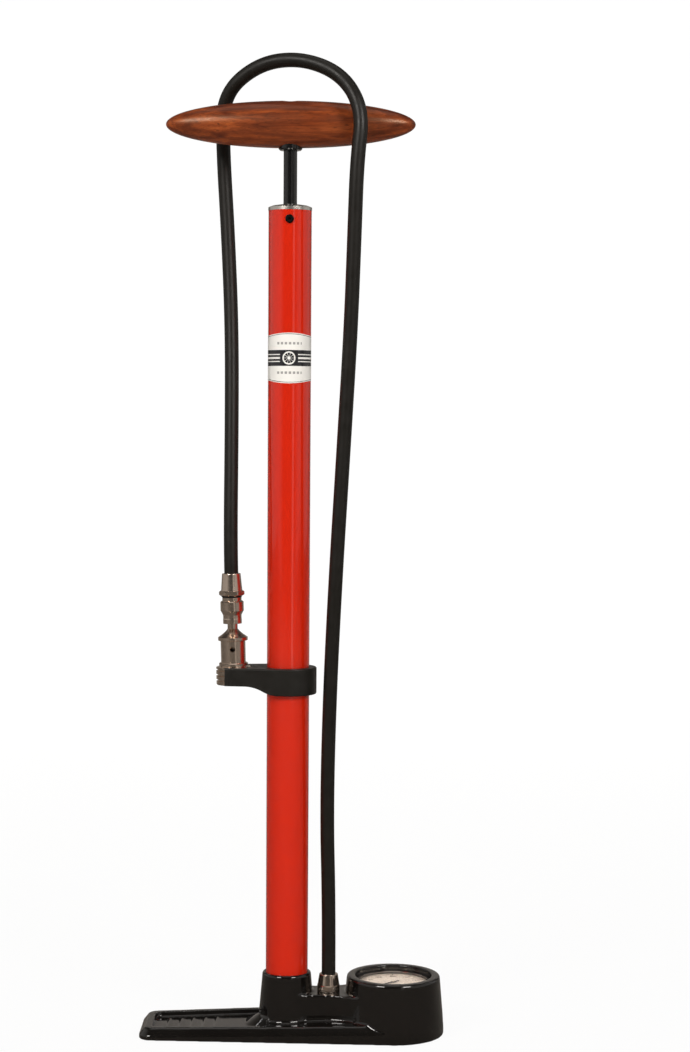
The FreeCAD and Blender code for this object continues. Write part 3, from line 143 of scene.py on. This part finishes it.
line = bpy.data.curves.new("hose_line", "CURVE")
line.dimensions = "3D"
line.resolution_u = 20
spline = line.splines.new("NURBS")
spline.points.add(len(HOSE_GUIDES) - 1)
for point, guide in zip(spline.points, HOSE_GUIDES):
    point.co = (*guide, 1)
spline.order_u = 3
spline.use_endpoint_u = True
hose = bpy.data.objects.new("rubber_hose", line)
bpy.context.collection.objects.link(hose)
bpy.context.view_layer.update()
evaluated = hose.evaluated_get(bpy.context.evaluated_depsgraph_get())
bare = bpy.data.meshes.new_from_object(evaluated)

# %% Give the hose its thickness
line.bevel_depth = HOSE_RADIUS
line.bevel_resolution = 6
line.use_fill_caps = True
only(hose)
bpy.ops.object.convert(target="MESH")
merge_points(turn_out=True)
bpy.ops.object.shade_smooth_by_angle(angle=math.radians(40))
print("hose tube:", len(hose.data.polygons), "faces")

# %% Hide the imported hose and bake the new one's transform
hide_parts("hose")
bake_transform(hose)


# %% [markdown]
# ## Ways of mixing a finish
# A material is a small graph. These helpers add a node and join it to others, do one sum,
# move a value to another range, lay out colours, and choose between two shaders, so that each
# recipe below reads from top to bottom.

# %% Helpers for node graphs
def join_up(tree, value, socket):
    """Sets a socket to a number or colour, or joins another node's output to it."""
    if isinstance(value, bpy.types.NodeSocket):
        tree.links.new(value, socket)
    else:
        socket.default_value = value


def add(tree, kind, inputs=None, **settings):
    """Adds a node, sets what it is told and joins what it is given."""
    node = tree.nodes.new(kind)
    for name, value in settings.items():
        setattr(node, name, value)
    for name, value in (inputs or {}).items():
        join_up(tree, value, node.inputs[name])
    return node


def sum_of(tree, operation, *values):
    """One sum on numbers, as the Math node does it."""
    node = add(tree, "ShaderNodeMath", operation=operation)
    for value, socket in zip(values, node.inputs):
        join_up(tree, value, socket)
    return node.outputs["Value"]


def remap(tree, value, low, high, first=0.0, last=1.0, **settings):
    """Goes from a first value at the low limit to a last one at the high limit."""
    node = add(tree, "ShaderNodeMapRange", {
        "Value": value, "From Min": low, "From Max": high, "To Min": first, "To Max": last}, **settings)
    return node.outputs["Result"]


def choose(tree, factor, first, second):
    """The first shader where the factor is 0, the second where it is 1."""
    node = add(tree, "ShaderNodeMixShader", {"Fac": factor})
    tree.links.new(first, node.inputs[1])
    tree.links.new(second, node.inputs[2])
    return node.outputs["Shader"]


def ramp(tree, factor, *stops):
    """Colours laid along a line from 0 to 1."""
    node = add(tree, "ShaderNodeValToRGB", {"Fac": factor})
    while len(node.color_ramp.elements) < len(stops):
        node.color_ramp.elements.new(0.5)
    for element, (place, colour) in zip(node.color_ramp.elements, stops):
        element.position = place
        element.color = (*colour, 1)
    return node.outputs["Color"]


print("helpers ready")

# %% [markdown]
# ## Effects that several finishes share
# Sprayed paint has a faint orange peel, every gloss surface is duller in some places than in
# others, dust settles on what faces up, and a piece that came off a lathe has fine rings.
# Three node groups with dials of their own do this, placed in every finish that needs them.

# %% Group: uneven surface
def start_group(name, inputs, outputs):
    """An empty node group with number sockets of these names."""
    tree = bpy.data.node_groups.new(name, "ShaderNodeTree")
    for label, start in inputs:
        socket = tree.interface.new_socket(name=label, in_out="INPUT",
                                           socket_type="NodeSocketFloat")
        socket.default_value = start
    for label in outputs:
        tree.interface.new_socket(name=label, in_out="OUTPUT", socket_type="NodeSocketFloat")
    return tree, tree.nodes.new("NodeGroupInput"), tree.nodes.new("NodeGroupOutput")


BROADER = 14.0
tree, given, result = start_group("uneven_surface",
                                  [("Size", 0.002), ("Dull", 0.1), ("Duller", 0.2)],
                                  ["Height", "Roughness", "Patches"])
spot = add(tree, "ShaderNodeTexCoord").outputs["Object"]
fine = sum_of(tree, "DIVIDE", 1.0, given.outputs["Size"])
peel = add(tree, "ShaderNodeTexNoise", {
    "Vector": spot, "Scale": fine, "Detail": 2.0, "Roughness": 0.5})
broad = sum_of(tree, "DIVIDE", fine, BROADER)
patches = add(tree, "ShaderNodeTexNoise", {
    "Vector": spot, "Scale": broad, "Detail": 3.0, "Roughness": 0.6})
dulled = remap(tree, patches.outputs["Fac"], 0.35, 0.65, given.outputs["Dull"], given.outputs["Duller"])
tree.links.new(peel.outputs["Fac"], result.inputs["Height"])
tree.links.new(dulled, result.inputs["Roughness"])
tree.links.new(patches.outputs["Fac"], result.inputs["Patches"])
print("group:", tree.name)

# %% Group: settled dust
tree, given, result = start_group("settled_dust", [("Amount", 0.2)], ["Dust"])
normal = add(tree, "ShaderNodeNewGeometry").outputs["Normal"]
facing = add(tree, "ShaderNodeSeparateXYZ", {"Vector": normal})
upward = remap(tree, facing.outputs["Z"], 0.6, 1.0)
spot = add(tree, "ShaderNodeTexCoord").outputs["Object"]
specks = add(tree, "ShaderNodeTexNoise", {
    "Vector": spot, "Scale": 900.0, "Detail": 4.0, "Roughness": 0.7})
sparse = remap(tree, specks.outputs["Fac"], 0.45, 0.75)
settled = sum_of(tree, "MULTIPLY", upward, sparse)
tree.links.new(sum_of(tree, "MULTIPLY", settled, given.outputs["Amount"]), result.inputs["Dust"])
print("group:", tree.name)

# %% Group: turned rings
RING_WANDER = 0.0003
tree, given, result = start_group("turned_rings", [("Spacing", 0.0004)], ["Height"])
spot = add(tree, "ShaderNodeTexCoord").outputs["Object"]
height = add(tree, "ShaderNodeSeparateXYZ", {"Vector": spot}).outputs["Z"]
wander = add(tree, "ShaderNodeTexNoise", {"Vector": spot, "Scale": 60.0, "Detail": 1.0})
shifted = sum_of(tree, "MULTIPLY_ADD", wander.outputs["Fac"], RING_WANDER, height)
turned_by = sum_of(tree, "MULTIPLY", shifted, 2 * math.pi)
turns = sum_of(tree, "DIVIDE", turned_by, given.outputs["Spacing"])
tree.links.new(sum_of(tree, "SINE", turns), result.inputs["Height"])
print("group:", tree.name)


# %% Helper: place a group, start a finish
def effect(tree, name, **dials):
    """One of the shared effects, with its dials set for this finish."""
    node = tree.nodes.new("ShaderNodeGroup")
    node.node_tree = bpy.data.node_groups[name]
    for label, value in dials.items():
        join_up(tree, value, node.inputs[label])
    return node.outputs


def start_finish(name, **constants):
    """A material with a bare Principled shader and its constant settings."""
    material = bpy.data.materials.new(name)
    material.use_nodes = True
    shader = material.node_tree.nodes["Principled BSDF"]
    for label, value in constants.items():
        shader.inputs[label.replace("_", " ")].default_value = value
    return material, material.node_tree, shader


def bump(tree, shader, height, strength, distance):
    """Small relief that the light sees."""
    node = add(tree, "ShaderNodeBump", {
        "Height": height, "Strength": strength, "Distance": distance})
    tree.links.new(node.outputs["Normal"], shader.inputs["Normal"])


def tint(tree, factor, first, second, **settings):
    """A blend of two colours, each a triple or another node's colour."""
    node = add(tree, "ShaderNodeMix", data_type="RGBA", **settings)
    join_up(tree, factor, node.inputs["Factor"])
    for colour, label in ((first, "A"), (second, "B")):
        socket = [item for item in node.inputs if item.name == label and item.type == "RGBA"][0]
        join_up(tree, (*colour, 1) if isinstance(colour, tuple) else colour, socket)
    return [item for item in node.outputs if item.type == "RGBA"][0]


print("shared effects ready")


# %% [markdown]
# ## Paint on metal
# The foot is a heavy casting in gloss black enamel: the paint runs a little thick over the
# rough metal, so its mirror is wavy. The tube is drawn steel under a smoother, warmer red.

# %% Finish: gloss paint
def gloss_paint(name, colour, deeper, peel, wave, dust, dull=(0.05, 0.13)):
    """Enamel with orange peel, slightly uneven gloss and a little dust on top."""
    material, tree, shader = start_finish(name, IOR=1.5, Coat_Weight=0.35, Coat_Roughness=0.04,
                                          Coat_IOR=1.5)
    surface = effect(tree, "uneven_surface", Size=peel, Dull=dull[0], Duller=dull[1])
    dusty = effect(tree, "settled_dust", Amount=dust)["Dust"]
    shade = tint(tree, surface["Patches"], colour, deeper)
    tree.links.new(tint(tree, dusty, shade, (0.35, 0.32, 0.29)), shader.inputs["Base Color"])
    tree.links.new(sum_of(tree, "ADD", surface["Roughness"], dusty), shader.inputs["Roughness"])
    bump(tree, shader, surface["Height"], wave, 0.0003)
    return material


foot_enamel = gloss_paint("foot_enamel", (0.0045, 0.0035, 0.003), (0.006, 0.005, 0.004),
                          peel=0.003, wave=0.10, dust=0.008)
barrel_enamel = gloss_paint("barrel_enamel", (0.64, 0.020, 0.004), (0.60, 0.017, 0.0035),
                            peel=0.0016, wave=0.03, dust=0.02)
rod_black = gloss_paint("rod_black", (0.004, 0.004, 0.004), (0.007, 0.007, 0.007),
                        peel=0.002, wave=0.02, dust=0.02)
print("paint mixed")


# %% [markdown]
# ## Bare and plated metal
# The hose fittings and the chuck are brass under dark nickel, which looks brown-grey in warm
# light. Turned faces keep fine rings from the lathe, so one recipe takes a colour, a range of
# roughness and the spacing of its rings.

# %% Finish: turned metal
def turned_metal(name, colour, deeper, dull, duller, rings=0.0004, depth=0.12):
    """Metal off the lathe: two close tones, uneven polish and fine rings."""
    material, tree, shader = start_finish(name, Metallic=1.0)
    surface = effect(tree, "uneven_surface", Size=0.0007, Dull=dull, Duller=duller)
    shade = tint(tree, surface["Patches"], colour, deeper)
    tree.links.new(shade, shader.inputs["Base Color"])
    tree.links.new(surface["Roughness"], shader.inputs["Roughness"])
    marks = effect(tree, "turned_rings", Spacing=rings)["Height"]
    bump(tree, shader, marks, depth, 0.00002)
    return material


dark_nickel = turned_metal("dark_nickel", (0.72, 0.59, 0.49), (0.64, 0.52, 0.43), 0.17, 0.24)
turned_aluminium = turned_metal("turned_aluminium", (0.80, 0.77, 0.72), (0.68, 0.65, 0.60), 0.2, 0.34)
bright_steel = turned_metal("bright_steel", (0.62, 0.61, 0.59), (0.5, 0.49, 0.47), 0.18, 0.3)
gauge_chrome = turned_metal("gauge_chrome", (0.42, 0.37, 0.34), (0.36, 0.31, 0.285), 0.07, 0.12)
raw_brass = turned_metal("raw_brass", (0.75, 0.55, 0.25), (0.55, 0.38, 0.16), 0.2, 0.36)
black_oxide = turned_metal("black_oxide", (0.035, 0.034, 0.034), (0.02, 0.02, 0.02), 0.28, 0.42)
print("metals mixed")


# %% [markdown]
# ## Rubber, nylon and leather
# None of these is a mirror. Rubber is nearly black with a soft broad sheen, the parking clamp
# is glass-filled nylon with a fine moulded grain, and the piston's cup is oiled leather.

# %% Finish: soft and moulded materials
def moulded(name, colour, deeper, grain, relief, dull, duller, dust=0.05):
    """Plastic or rubber out of a mould: fine grain, no mirror, a trace of dust."""
    material, tree, shader = start_finish(name, IOR=1.48, Specular_IOR_Level=0.3)
    surface = effect(tree, "uneven_surface", Size=grain, Dull=dull, Duller=duller)
    dusty = effect(tree, "settled_dust", Amount=dust)["Dust"]
    shade = tint(tree, surface["Patches"], colour, deeper)
    tree.links.new(tint(tree, dusty, shade, (0.3, 0.28, 0.26)), shader.inputs["Base Color"])
    tree.links.new(surface["Roughness"], shader.inputs["Roughness"])
    bump(tree, shader, surface["Height"], relief, 0.0001)
    return material


hose_rubber = moulded("hose_rubber", (0.0075, 0.0065, 0.005), (0.011, 0.0095, 0.0075),
                      grain=0.0006, relief=0.25, dull=0.36, duller=0.48)
seal_rubber = moulded("seal_rubber", (0.010, 0.010, 0.010), (0.016, 0.016, 0.016),
                      grain=0.0008, relief=0.35, dull=0.5, duller=0.7)
clamp_nylon = moulded("clamp_nylon", (0.010, 0.009, 0.0075), (0.014, 0.0125, 0.0105),
                      grain=0.0005, relief=0.4, dull=0.34, duller=0.46)
white_nylon = moulded("white_nylon", (0.80, 0.78, 0.72), (0.72, 0.69, 0.62),
                      grain=0.0006, relief=0.15, dull=0.35, duller=0.5)
oiled_leather = moulded("oiled_leather", (0.22, 0.105, 0.045), (0.13, 0.06, 0.026),
                        grain=0.0009, relief=0.8, dull=0.45, duller=0.65)
wear(hose, hose_rubber)
print("rubber, nylon and leather mixed")


# %% [markdown]
# ## Varnished wood
# The handle is one turned piece of reddish tropical wood. Its grain runs along it, so every
# pattern is stretched along X: broad growth bands, a ripple that flashes across them, and the
# short dark pores that make the wood look like wood and not like paint. Clear varnish goes
# over the top as a coat.

# %% Finish: varnished mahogany
def stretched_noise(tree, spot, along, across, detail, roughness=0.55, distortion=0.0):
    """Noise drawn out along the handle's length."""
    drawn = add(tree, "ShaderNodeMapping", {"Vector": spot, "Scale": (along, across, across)})
    noise = add(tree, "ShaderNodeTexNoise", {
        "Vector": drawn.outputs["Vector"], "Scale": 1.0, "Detail": detail, "Roughness": roughness,
        "Distortion": distortion})
    return noise.outputs["Fac"]


mahogany, tree, shader = start_finish("varnished_mahogany", IOR=1.5, Coat_Weight=0.12,
                                      Coat_Roughness=0.2, Coat_IOR=1.5, Specular_IOR_Level=0.55,
                                      Specular_Tint=(1.0, 0.58, 0.32, 1))
spot = add(tree, "ShaderNodeTexCoord").outputs["Object"]
bands = stretched_noise(tree, spot, 14, 190, 4.0, distortion=0.6)
wood = ramp(tree, bands, (0.30, (0.070, 0.012, 0.005)), (0.45, (0.15, 0.028, 0.009)),
            (0.58, (0.25, 0.048, 0.012)), (0.74, (0.37, 0.082, 0.019)))
fibres = stretched_noise(tree, spot, 70, 1500, 3.0)
fleck = remap(tree, fibres, 0.35, 0.7, 0.72, 1.15)
toned = tint(tree, 1.0, wood, fleck, blend_type="MULTIPLY")
pores = stretched_noise(tree, spot, 160, 1900, 1.0)
pore = remap(tree, pores, 0.62, 0.70)
dark = sum_of(tree, "MULTIPLY", pore, 0.75)
tree.links.new(tint(tree, dark, toned, (0.035, 0.008, 0.004)), shader.inputs["Base Color"])
ripple = stretched_noise(tree, spot, 60, 40, 2.0)
tree.links.new(remap(tree, ripple, 0.3, 0.7, 0.28, 0.42), shader.inputs["Roughness"])
bump(tree, shader, sum_of(tree, "SUBTRACT", 0.0, pore), 0.25, 0.0001)
print("wood mixed")


# %% [markdown]
# ## The gauge
# The dial is a cream disc under a flat glass. Its scale is real print, made as thin raised
# marks so that it survives in every copy of the model: one short bar is modelled and copied
# round the dial, with a longer one at each number.

# %% Finishes: dial, needle and glass
dial_cream = moulded("dial_cream", (0.96, 0.80, 0.68), (0.92, 0.75, 0.63),
                     grain=0.0009, relief=0.05, dull=0.3, duller=0.4, dust=0.0)
needle_paint = gloss_paint("needle_paint", (0.012, 0.010, 0.010), (0.02, 0.018, 0.018),
                           peel=0.002, wave=0.02, dust=0.0)
gauge_glass, tree, shader = start_finish("gauge_glass", IOR=1.5, Transmission_Weight=1.0,
                                         Base_Color=(0.97, 0.985, 0.98, 1))
smears = effect(tree, "uneven_surface", Size=0.0015, Dull=0.0, Duller=0.03)
tree.links.new(smears["Roughness"], shader.inputs["Roughness"])
through = add(tree, "ShaderNodeBsdfTransparent")
shadow = add(tree, "ShaderNodeLightPath").outputs["Is Shadow Ray"]
mixed = choose(tree, shadow, shader.outputs["BSDF"], through.outputs["BSDF"])
tree.links.new(mixed, tree.nodes["Material Output"].inputs["Surface"])
print("dial, needle and glass mixed")

# %% The scale's bars
dial_low, dial_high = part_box("gauge_dial")
DIAL_MIDDLE = (dial_low + dial_high) / 2
MARK_RISE = 0.00006
SCALE_LEVEL = dial_high.z + MARK_RISE / 2
SWEEP = math.radians(270)
SCALE_START = math.radians(225)
NUMBERS = [0, 20, 40, 60, 80, 100, 120, 140, 160]
BARS_PER_NUMBER = 4
BAR_SIZE = (0.0016, 0.00035, MARK_RISE)
LONG_BAR_REACH, BAR_REACH, FIGURE_REACH = 0.0236, 0.0244, 0.0186
FIGURE_HEIGHT = 0.0042


def on_dial(reach, angle):
    """A place on the dial, so far from its middle and in this direction."""
    return DIAL_MIDDLE.x + reach * math.cos(angle), reach * math.sin(angle), SCALE_LEVEL


bpy.ops.object.select_all(action="DESELECT")
bpy.ops.mesh.primitive_cube_add(size=1, location=(0, 0, 0))
bar = bpy.context.object
bar.name = "scale_bar"
bar.scale = BAR_SIZE
bpy.ops.object.transform_apply(location=False, rotation=False, scale=True)
marks = []
steps = (len(NUMBERS) - 1) * BARS_PER_NUMBER
for step in range(steps + 1):
    major = step % BARS_PER_NUMBER == 0
    angle = SCALE_START - SWEEP * step / steps
    mark = copy_of(bar, f"scale_bar_{step}")
    mark.scale = (2.0, 1.6, 1) if major else (1, 1, 1)
    mark.rotation_euler = (0, 0, angle)
    mark.location = on_dial(LONG_BAR_REACH if major else BAR_REACH, angle)
    marks.append(mark)
bpy.data.objects.remove(bar)
print(len(marks), "bars on the scale")

# %% The scale's numbers
for step, number in enumerate(NUMBERS):
    angle = SCALE_START - SWEEP * step / (len(NUMBERS) - 1)
    bpy.ops.object.text_add(location=on_dial(FIGURE_REACH, angle))
    figure = bpy.context.object
    figure.data.body = str(number)
    figure.data.size = FIGURE_HEIGHT
    figure.data.align_x = "CENTER"
    figure.data.align_y = "CENTER"
    figure.data.extrude = MARK_RISE / 2
    bpy.ops.object.convert(target="MESH")
    marks.append(bpy.context.object)
only(*marks)
bpy.ops.object.join()
gauge_scale = bpy.context.object
gauge_scale.name = "gauge_scale"
bpy.ops.object.transform_apply(location=True, rotation=True, scale=True)
wear(gauge_scale, needle_paint)
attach(gauge_scale, "pump_base")
print("scale:", len(gauge_scale.data.polygons), "faces")


# %% [markdown]
# ## The decal
# A white oval label is wrapped round the tube. Its print is a plain emblem: a black band with a
# spoked wheel and speed stripes, a row of small dashes above and below it, and a thin border.
# All of it is drawn by sums on the place of each point, where *round* is the distance along
# the tube's curve and *up* the height above the label's middle, so no picture file is needed.

# %% Finish: printed decal
decal_low, decal_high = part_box("barrel_decal")
DECAL_MIDDLE = (decal_low.z + decal_high.z) / 2
TUBE_RADIUS = 0.0159
DECAL_ARC = 0.060
DECAL_SINK = DECAL_ARC - (decal_high.z - decal_low.z) / 2
SPOKES, SPOKE_HALF, SPOKE_REACH = 10, 0.0006, 0.0042
HUB_RADIUS, RIM = 0.0011, (0.0038, 0.0048)
STRIPE_SPAN, STRIPE_HALF, OUTER_STRIPE = (0.0068, 0.0250), 0.0007, (0.0022, 0.0029)
BAND_HALF = 0.0058
DASH_PITCH, DASH_SPAN, DASH_ROW, DASH_STRENGTH = 0.0030, 0.0098, (0.0098, 0.0116), 0.6
BORDER = (0.0006, 0.0010)
INK = (0.015, 0.015, 0.018)
decal_print, tree, shader = start_finish("decal_print", IOR=1.5, Coat_Weight=0.3,
                                         Coat_Roughness=0.06)
spot = add(tree, "ShaderNodeTexCoord").outputs["Object"]
place = add(tree, "ShaderNodeSeparateXYZ", {"Vector": spot})
front = sum_of(tree, "MULTIPLY", place.outputs["Y"], -1.0)
turn = sum_of(tree, "ARCTAN2", place.outputs["X"], front)
round_way = sum_of(tree, "MULTIPLY", turn, TUBE_RADIUS)
up_way = sum_of(tree, "SUBTRACT", place.outputs["Z"], DECAL_MIDDLE)
side_way = sum_of(tree, "ABSOLUTE", round_way)
tall = sum_of(tree, "ABSOLUTE", up_way)
squared = sum_of(tree, "POWER", place.outputs["X"], 2.0)
arched = sum_of(tree, "SQRT", sum_of(tree, "SUBTRACT", DECAL_ARC ** 2, squared))
edge = sum_of(tree, "SUBTRACT", arched, DECAL_SINK)
inside = sum_of(tree, "SUBTRACT", edge, tall)


def between(value, low, high):
    """1 where a value lies between two limits, otherwise 0."""
    middle, half = (low + high) / 2, (high - low) / 2
    return sum_of(tree, "COMPARE", value, middle, half)


def both(first, second):
    """Where two masks overlap."""
    return sum_of(tree, "MULTIPLY", first, second)


def either(*masks):
    """Wherever one of the masks is."""
    found = masks[0]
    for mask in masks[1:]:
        found = sum_of(tree, "MAXIMUM", found, mask)
    return found


from_hub = sum_of(tree, "SQRT", sum_of(tree, "ADD", sum_of(tree, "POWER", round_way, 2.0),
                                        sum_of(tree, "POWER", up_way, 2.0)))
bearing = sum_of(tree, "MULTIPLY", sum_of(tree, "ARCTAN2", up_way, round_way), SPOKES / 2)
off_line = sum_of(tree, "ABSOLUTE", sum_of(tree, "SINE", bearing))
off_spoke = sum_of(tree, "MULTIPLY", off_line, from_hub)
spokes = both(between(off_spoke, -SPOKE_HALF, SPOKE_HALF), between(from_hub, 0.0, SPOKE_REACH))
wheel = either(between(from_hub, *RIM), between(from_hub, 0.0, HUB_RADIUS), spokes)
stripes = both(between(side_way, *STRIPE_SPAN),
               either(between(tall, 0.0, STRIPE_HALF), between(tall, *OUTER_STRIPE)))
band = both(between(tall, 0.0, BAND_HALF), between(inside, 0.0, 1.0))
dash_turn = sum_of(tree, "MULTIPLY", round_way, 2 * math.pi / DASH_PITCH)
dash_wave = sum_of(tree, "SINE", dash_turn)
dash_rows = both(between(side_way, 0.0, DASH_SPAN), between(tall, *DASH_ROW))
dashes = both(between(dash_wave, -0.35, 1.0), dash_rows)
border = between(inside, *BORDER)
unprinted = sum_of(tree, "SUBTRACT", 1.0, either(wheel, stripes))
ink = either(both(band, unprinted), border, both(dashes, DASH_STRENGTH))
surface = effect(tree, "uneven_surface", Size=0.001, Dull=0.16, Duller=0.26)
paper = tint(tree, surface["Patches"], (0.92, 0.91, 0.88), (0.87, 0.86, 0.825))
tree.links.new(tint(tree, ink, paper, INK), shader.inputs["Base Color"])
tree.links.new(surface["Roughness"], shader.inputs["Roughness"])
print("decal printed at", round(DECAL_MIDDLE, 4), "m")


# %% [markdown]
# ## A softer casting
# Sand-cast metal has no sharp edges, and the paint fills its corners further. A copy of the
# foot is rebuilt as an even mesh and smoothed a little, which rounds every edge and corner by
# about a millimetre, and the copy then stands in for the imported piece.

# %% Rebuild and smooth the foot
CASTING_GRAIN = 0.0008
SMOOTHING_PASSES = 7
soft_foot = copy_of(nodes["base_casting"], "softened_casting")
only(soft_foot)
merge_points()
rebuilt = soft_foot.modifiers.new("rebuilt", "REMESH")
rebuilt.mode = "VOXEL"
rebuilt.voxel_size = CASTING_GRAIN
smoothed = soft_foot.modifiers.new("smoothed", "SMOOTH")
smoothed.factor = 0.5
smoothed.iterations = SMOOTHING_PASSES
for step in ("rebuilt", "smoothed"):
    bpy.ops.object.modifier_apply(modifier=step)
bpy.ops.object.shade_smooth()
wear(soft_foot, foot_enamel)
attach(soft_foot, "pump_base")
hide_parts("base_casting")
print("softened casting:", len(soft_foot.data.polygons), "faces")


# %% [markdown]
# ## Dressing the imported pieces
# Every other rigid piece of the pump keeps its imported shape. Its plain colour is taken off and
# the finish of the real piece put on.

# %% Put the finishes on
FINISHES = [
    (barrel_enamel, ["barrel"]),
    (rod_black, ["rod", "handle_saddle_washer"]),
    (dark_nickel, ["hose_port_fitting", "hose_foot_ferrule", "chuck_collar", "chuck_body",
                   "chuck_bell", "coupling_nut", "hose_end_ferrule"]),
    (turned_aluminium, ["barrel_cap", "piston_body"]),
    (bright_steel, ["cup_follower", "piston_nut", "handle_bolt_washer", "check_ball",
                    "check_spring", "gauge_case"]),
    (gauge_chrome, ["gauge_bezel"]),
    (raw_brass, ["check_valve_body", "gauge_socket", "bourdon_tube", "sector_gear", "gauge_link",
                 "pinion_arbor", "movement_frame"]),
    (black_oxide, ["cap_screws", "handle_bolt", "clamp_screw", "gallery_plug"]),
    (seal_rubber, ["rubber_feet", "barrel_seal", "rod_bumper", "lens_gasket", "stem_seal",
                   "chuck_gasket", "coupling_seal"]),
    (clamp_nylon, ["dock_clamp"]),
    (white_nylon, ["rod_bush", "piston_guide_ring"]),
    (oiled_leather, ["piston_cup"]),
    (mahogany, ["handle"]),
    (dial_cream, ["gauge_dial"]),
    (needle_paint, ["needle"]),
    (gauge_glass, ["gauge_lens"]),
    (decal_print, ["barrel_decal"]),
]
dressed = {"hose", "base_casting"}
for finish, names in FINISHES:
    for name in names:
        for slot in nodes[name].material_slots:
            slot.material = finish
        dressed.add(name)
print(len(dressed), "dressed; left over:", sorted(set(nodes) - dressed))


# %% [markdown]
# ## The studio
# The pump stands on a plain pale floor that curves up behind it. Two equal soft boxes stand
# high in front to the left and right, and there is some light from straight above. Upright
# surfaces then mirror mostly a dark room, so black parts stay black and the red tube keeps its
# colour, while rounded edges that face up catch thin bright lines. Two dim walls at the sides
# give the plated pieces something to show.

# %% Floor and backdrop
FLOOR_SIZE = (12, 9, 1)
WALL_HEIGHT = 6
SWEEP_RADIUS = 2.0
bpy.ops.object.select_all(action="DESELECT")
bpy.ops.mesh.primitive_plane_add(size=1, location=(0, 1.0, 0))
floor = bpy.context.object
floor.name = "floor"
floor.scale = FLOOR_SIZE
bpy.ops.object.transform_apply(location=True, rotation=False, scale=True)
bpy.ops.object.mode_set(mode="EDIT")
bpy.ops.mesh.select_mode(type="EDGE")
bpy.ops.mesh.select_all(action="DESELECT")
bpy.ops.object.mode_set(mode="OBJECT")
for rim in floor.data.edges:
    rim.select = all(floor.data.vertices[index].co.y > 5 for index in rim.vertices)
bpy.ops.object.mode_set(mode="EDIT")
bpy.ops.mesh.extrude_region_move(TRANSFORM_OT_translate={"value": (0, 0, WALL_HEIGHT)})
bpy.ops.object.mode_set(mode="OBJECT")
sweep = floor.modifiers.new("sweep", "BEVEL")
sweep.width = SWEEP_RADIUS
sweep.segments = 16
bpy.ops.object.modifier_apply(modifier="sweep")
bpy.ops.object.shade_smooth()
paper_white, tree, shader = start_finish("paper_white", Roughness=0.9, Specular_IOR_Level=0.0,
                                         Base_Color=(0.86, 0.85, 0.83, 1))
ray = add(tree, "ShaderNodeLightPath").outputs
glow = add(tree, "ShaderNodeEmission", {"Color": (1, 1, 1, 1), "Strength": 1.0})
card = add(tree, "ShaderNodeBsdfDiffuse", {"Color": (0.20, 0.185, 0.17, 1)})
seen_white = sum_of(tree, "MULTIPLY", ray["Is Camera Ray"], 0.95)
lifted = choose(tree, seen_white, shader.outputs["BSDF"], glow.outputs["Emission"])
mirrored = choose(tree, ray["Is Glossy Ray"], lifted, card.outputs["BSDF"])
tree.links.new(mirrored, tree.nodes["Material Output"].inputs["Surface"])
floor.data.materials.append(paper_white)
print("floor laid")

# %% Lights
WARM_WHITE = (1.0, 0.965, 0.925)


def soft_light(name, place, target, width, height, watts, colour=(1, 1, 1)):
    """A rectangular soft box that points at a target."""
    bpy.ops.object.light_add(type="AREA", location=place)
    lamp = bpy.context.object
    lamp.name = name
    lamp.data.shape = "RECTANGLE"
    lamp.data.size = width
    lamp.data.size_y = height
    lamp.data.energy = watts
    lamp.data.color = colour
    direction = Vector(target) - Vector(place)
    lamp.rotation_euler = direction.to_track_quat("-Z", "Y").to_euler()
    return lamp


soft_light("left_box", (-1.95, -2.65, 2.2), (0, 0, 0.3), 1.2, 1.1, watts=78, colour=WARM_WHITE)
soft_light("right_box", (1.95, -2.65, 2.2), (0, 0, 0.3), 1.2, 1.1, watts=72, colour=WARM_WHITE)
soft_light("right_card", (0.85, -1.9, 0.45), (0, 0, 0.35), 0.25, 1.4, watts=0.7,
           colour=(1.0, 0.95, 0.9))
soft_light("back_wash", (0.0, 2.2, 2.4), (0, 4.0, 0.6), 5.0, 1.2, watts=160)
print("lights set")

# %% The room around
world = bpy.data.worlds.new("studio")
bpy.context.scene.world = world
world.use_nodes = True
tree = world.node_tree
direction = add(tree, "ShaderNodeTexCoord").outputs["Generated"]
heading = add(tree, "ShaderNodeSeparateXYZ", {"Vector": direction})
ray = add(tree, "ShaderNodeLightPath").outputs
overhead = remap(tree, heading.outputs["Z"], 0.88, 0.99, last=0.9, interpolation_type="SMOOTHSTEP")
sideways = sum_of(tree, "ABSOLUTE", heading.outputs["X"])
wall_glow = remap(tree, sideways, 0.45, 0.85, last=0.4, interpolation_type="SMOOTHSTEP")
walls = sum_of(tree, "MULTIPLY", wall_glow, ray["Is Glossy Ray"])
ROOM_GLOW = 0.05
room = sum_of(tree, "ADD", sum_of(tree, "ADD", overhead, walls), ROOM_GLOW)
ceiling = tree.nodes["Background"]
ceiling.inputs["Color"].default_value = (1.0, 0.97, 0.93, 1)
tree.links.new(room, ceiling.inputs["Strength"])
seen = add(tree, "ShaderNodeBackground", {"Color": (1, 1, 1, 1), "Strength": 1.0})
around = choose(tree, ray["Is Camera Ray"], ceiling.outputs["Background"],
                seen.outputs["Background"])
tree.links.new(around, tree.nodes["World Output"].inputs["Surface"])
bpy.context.scene.view_settings.view_transform = "Standard"
print("room set")
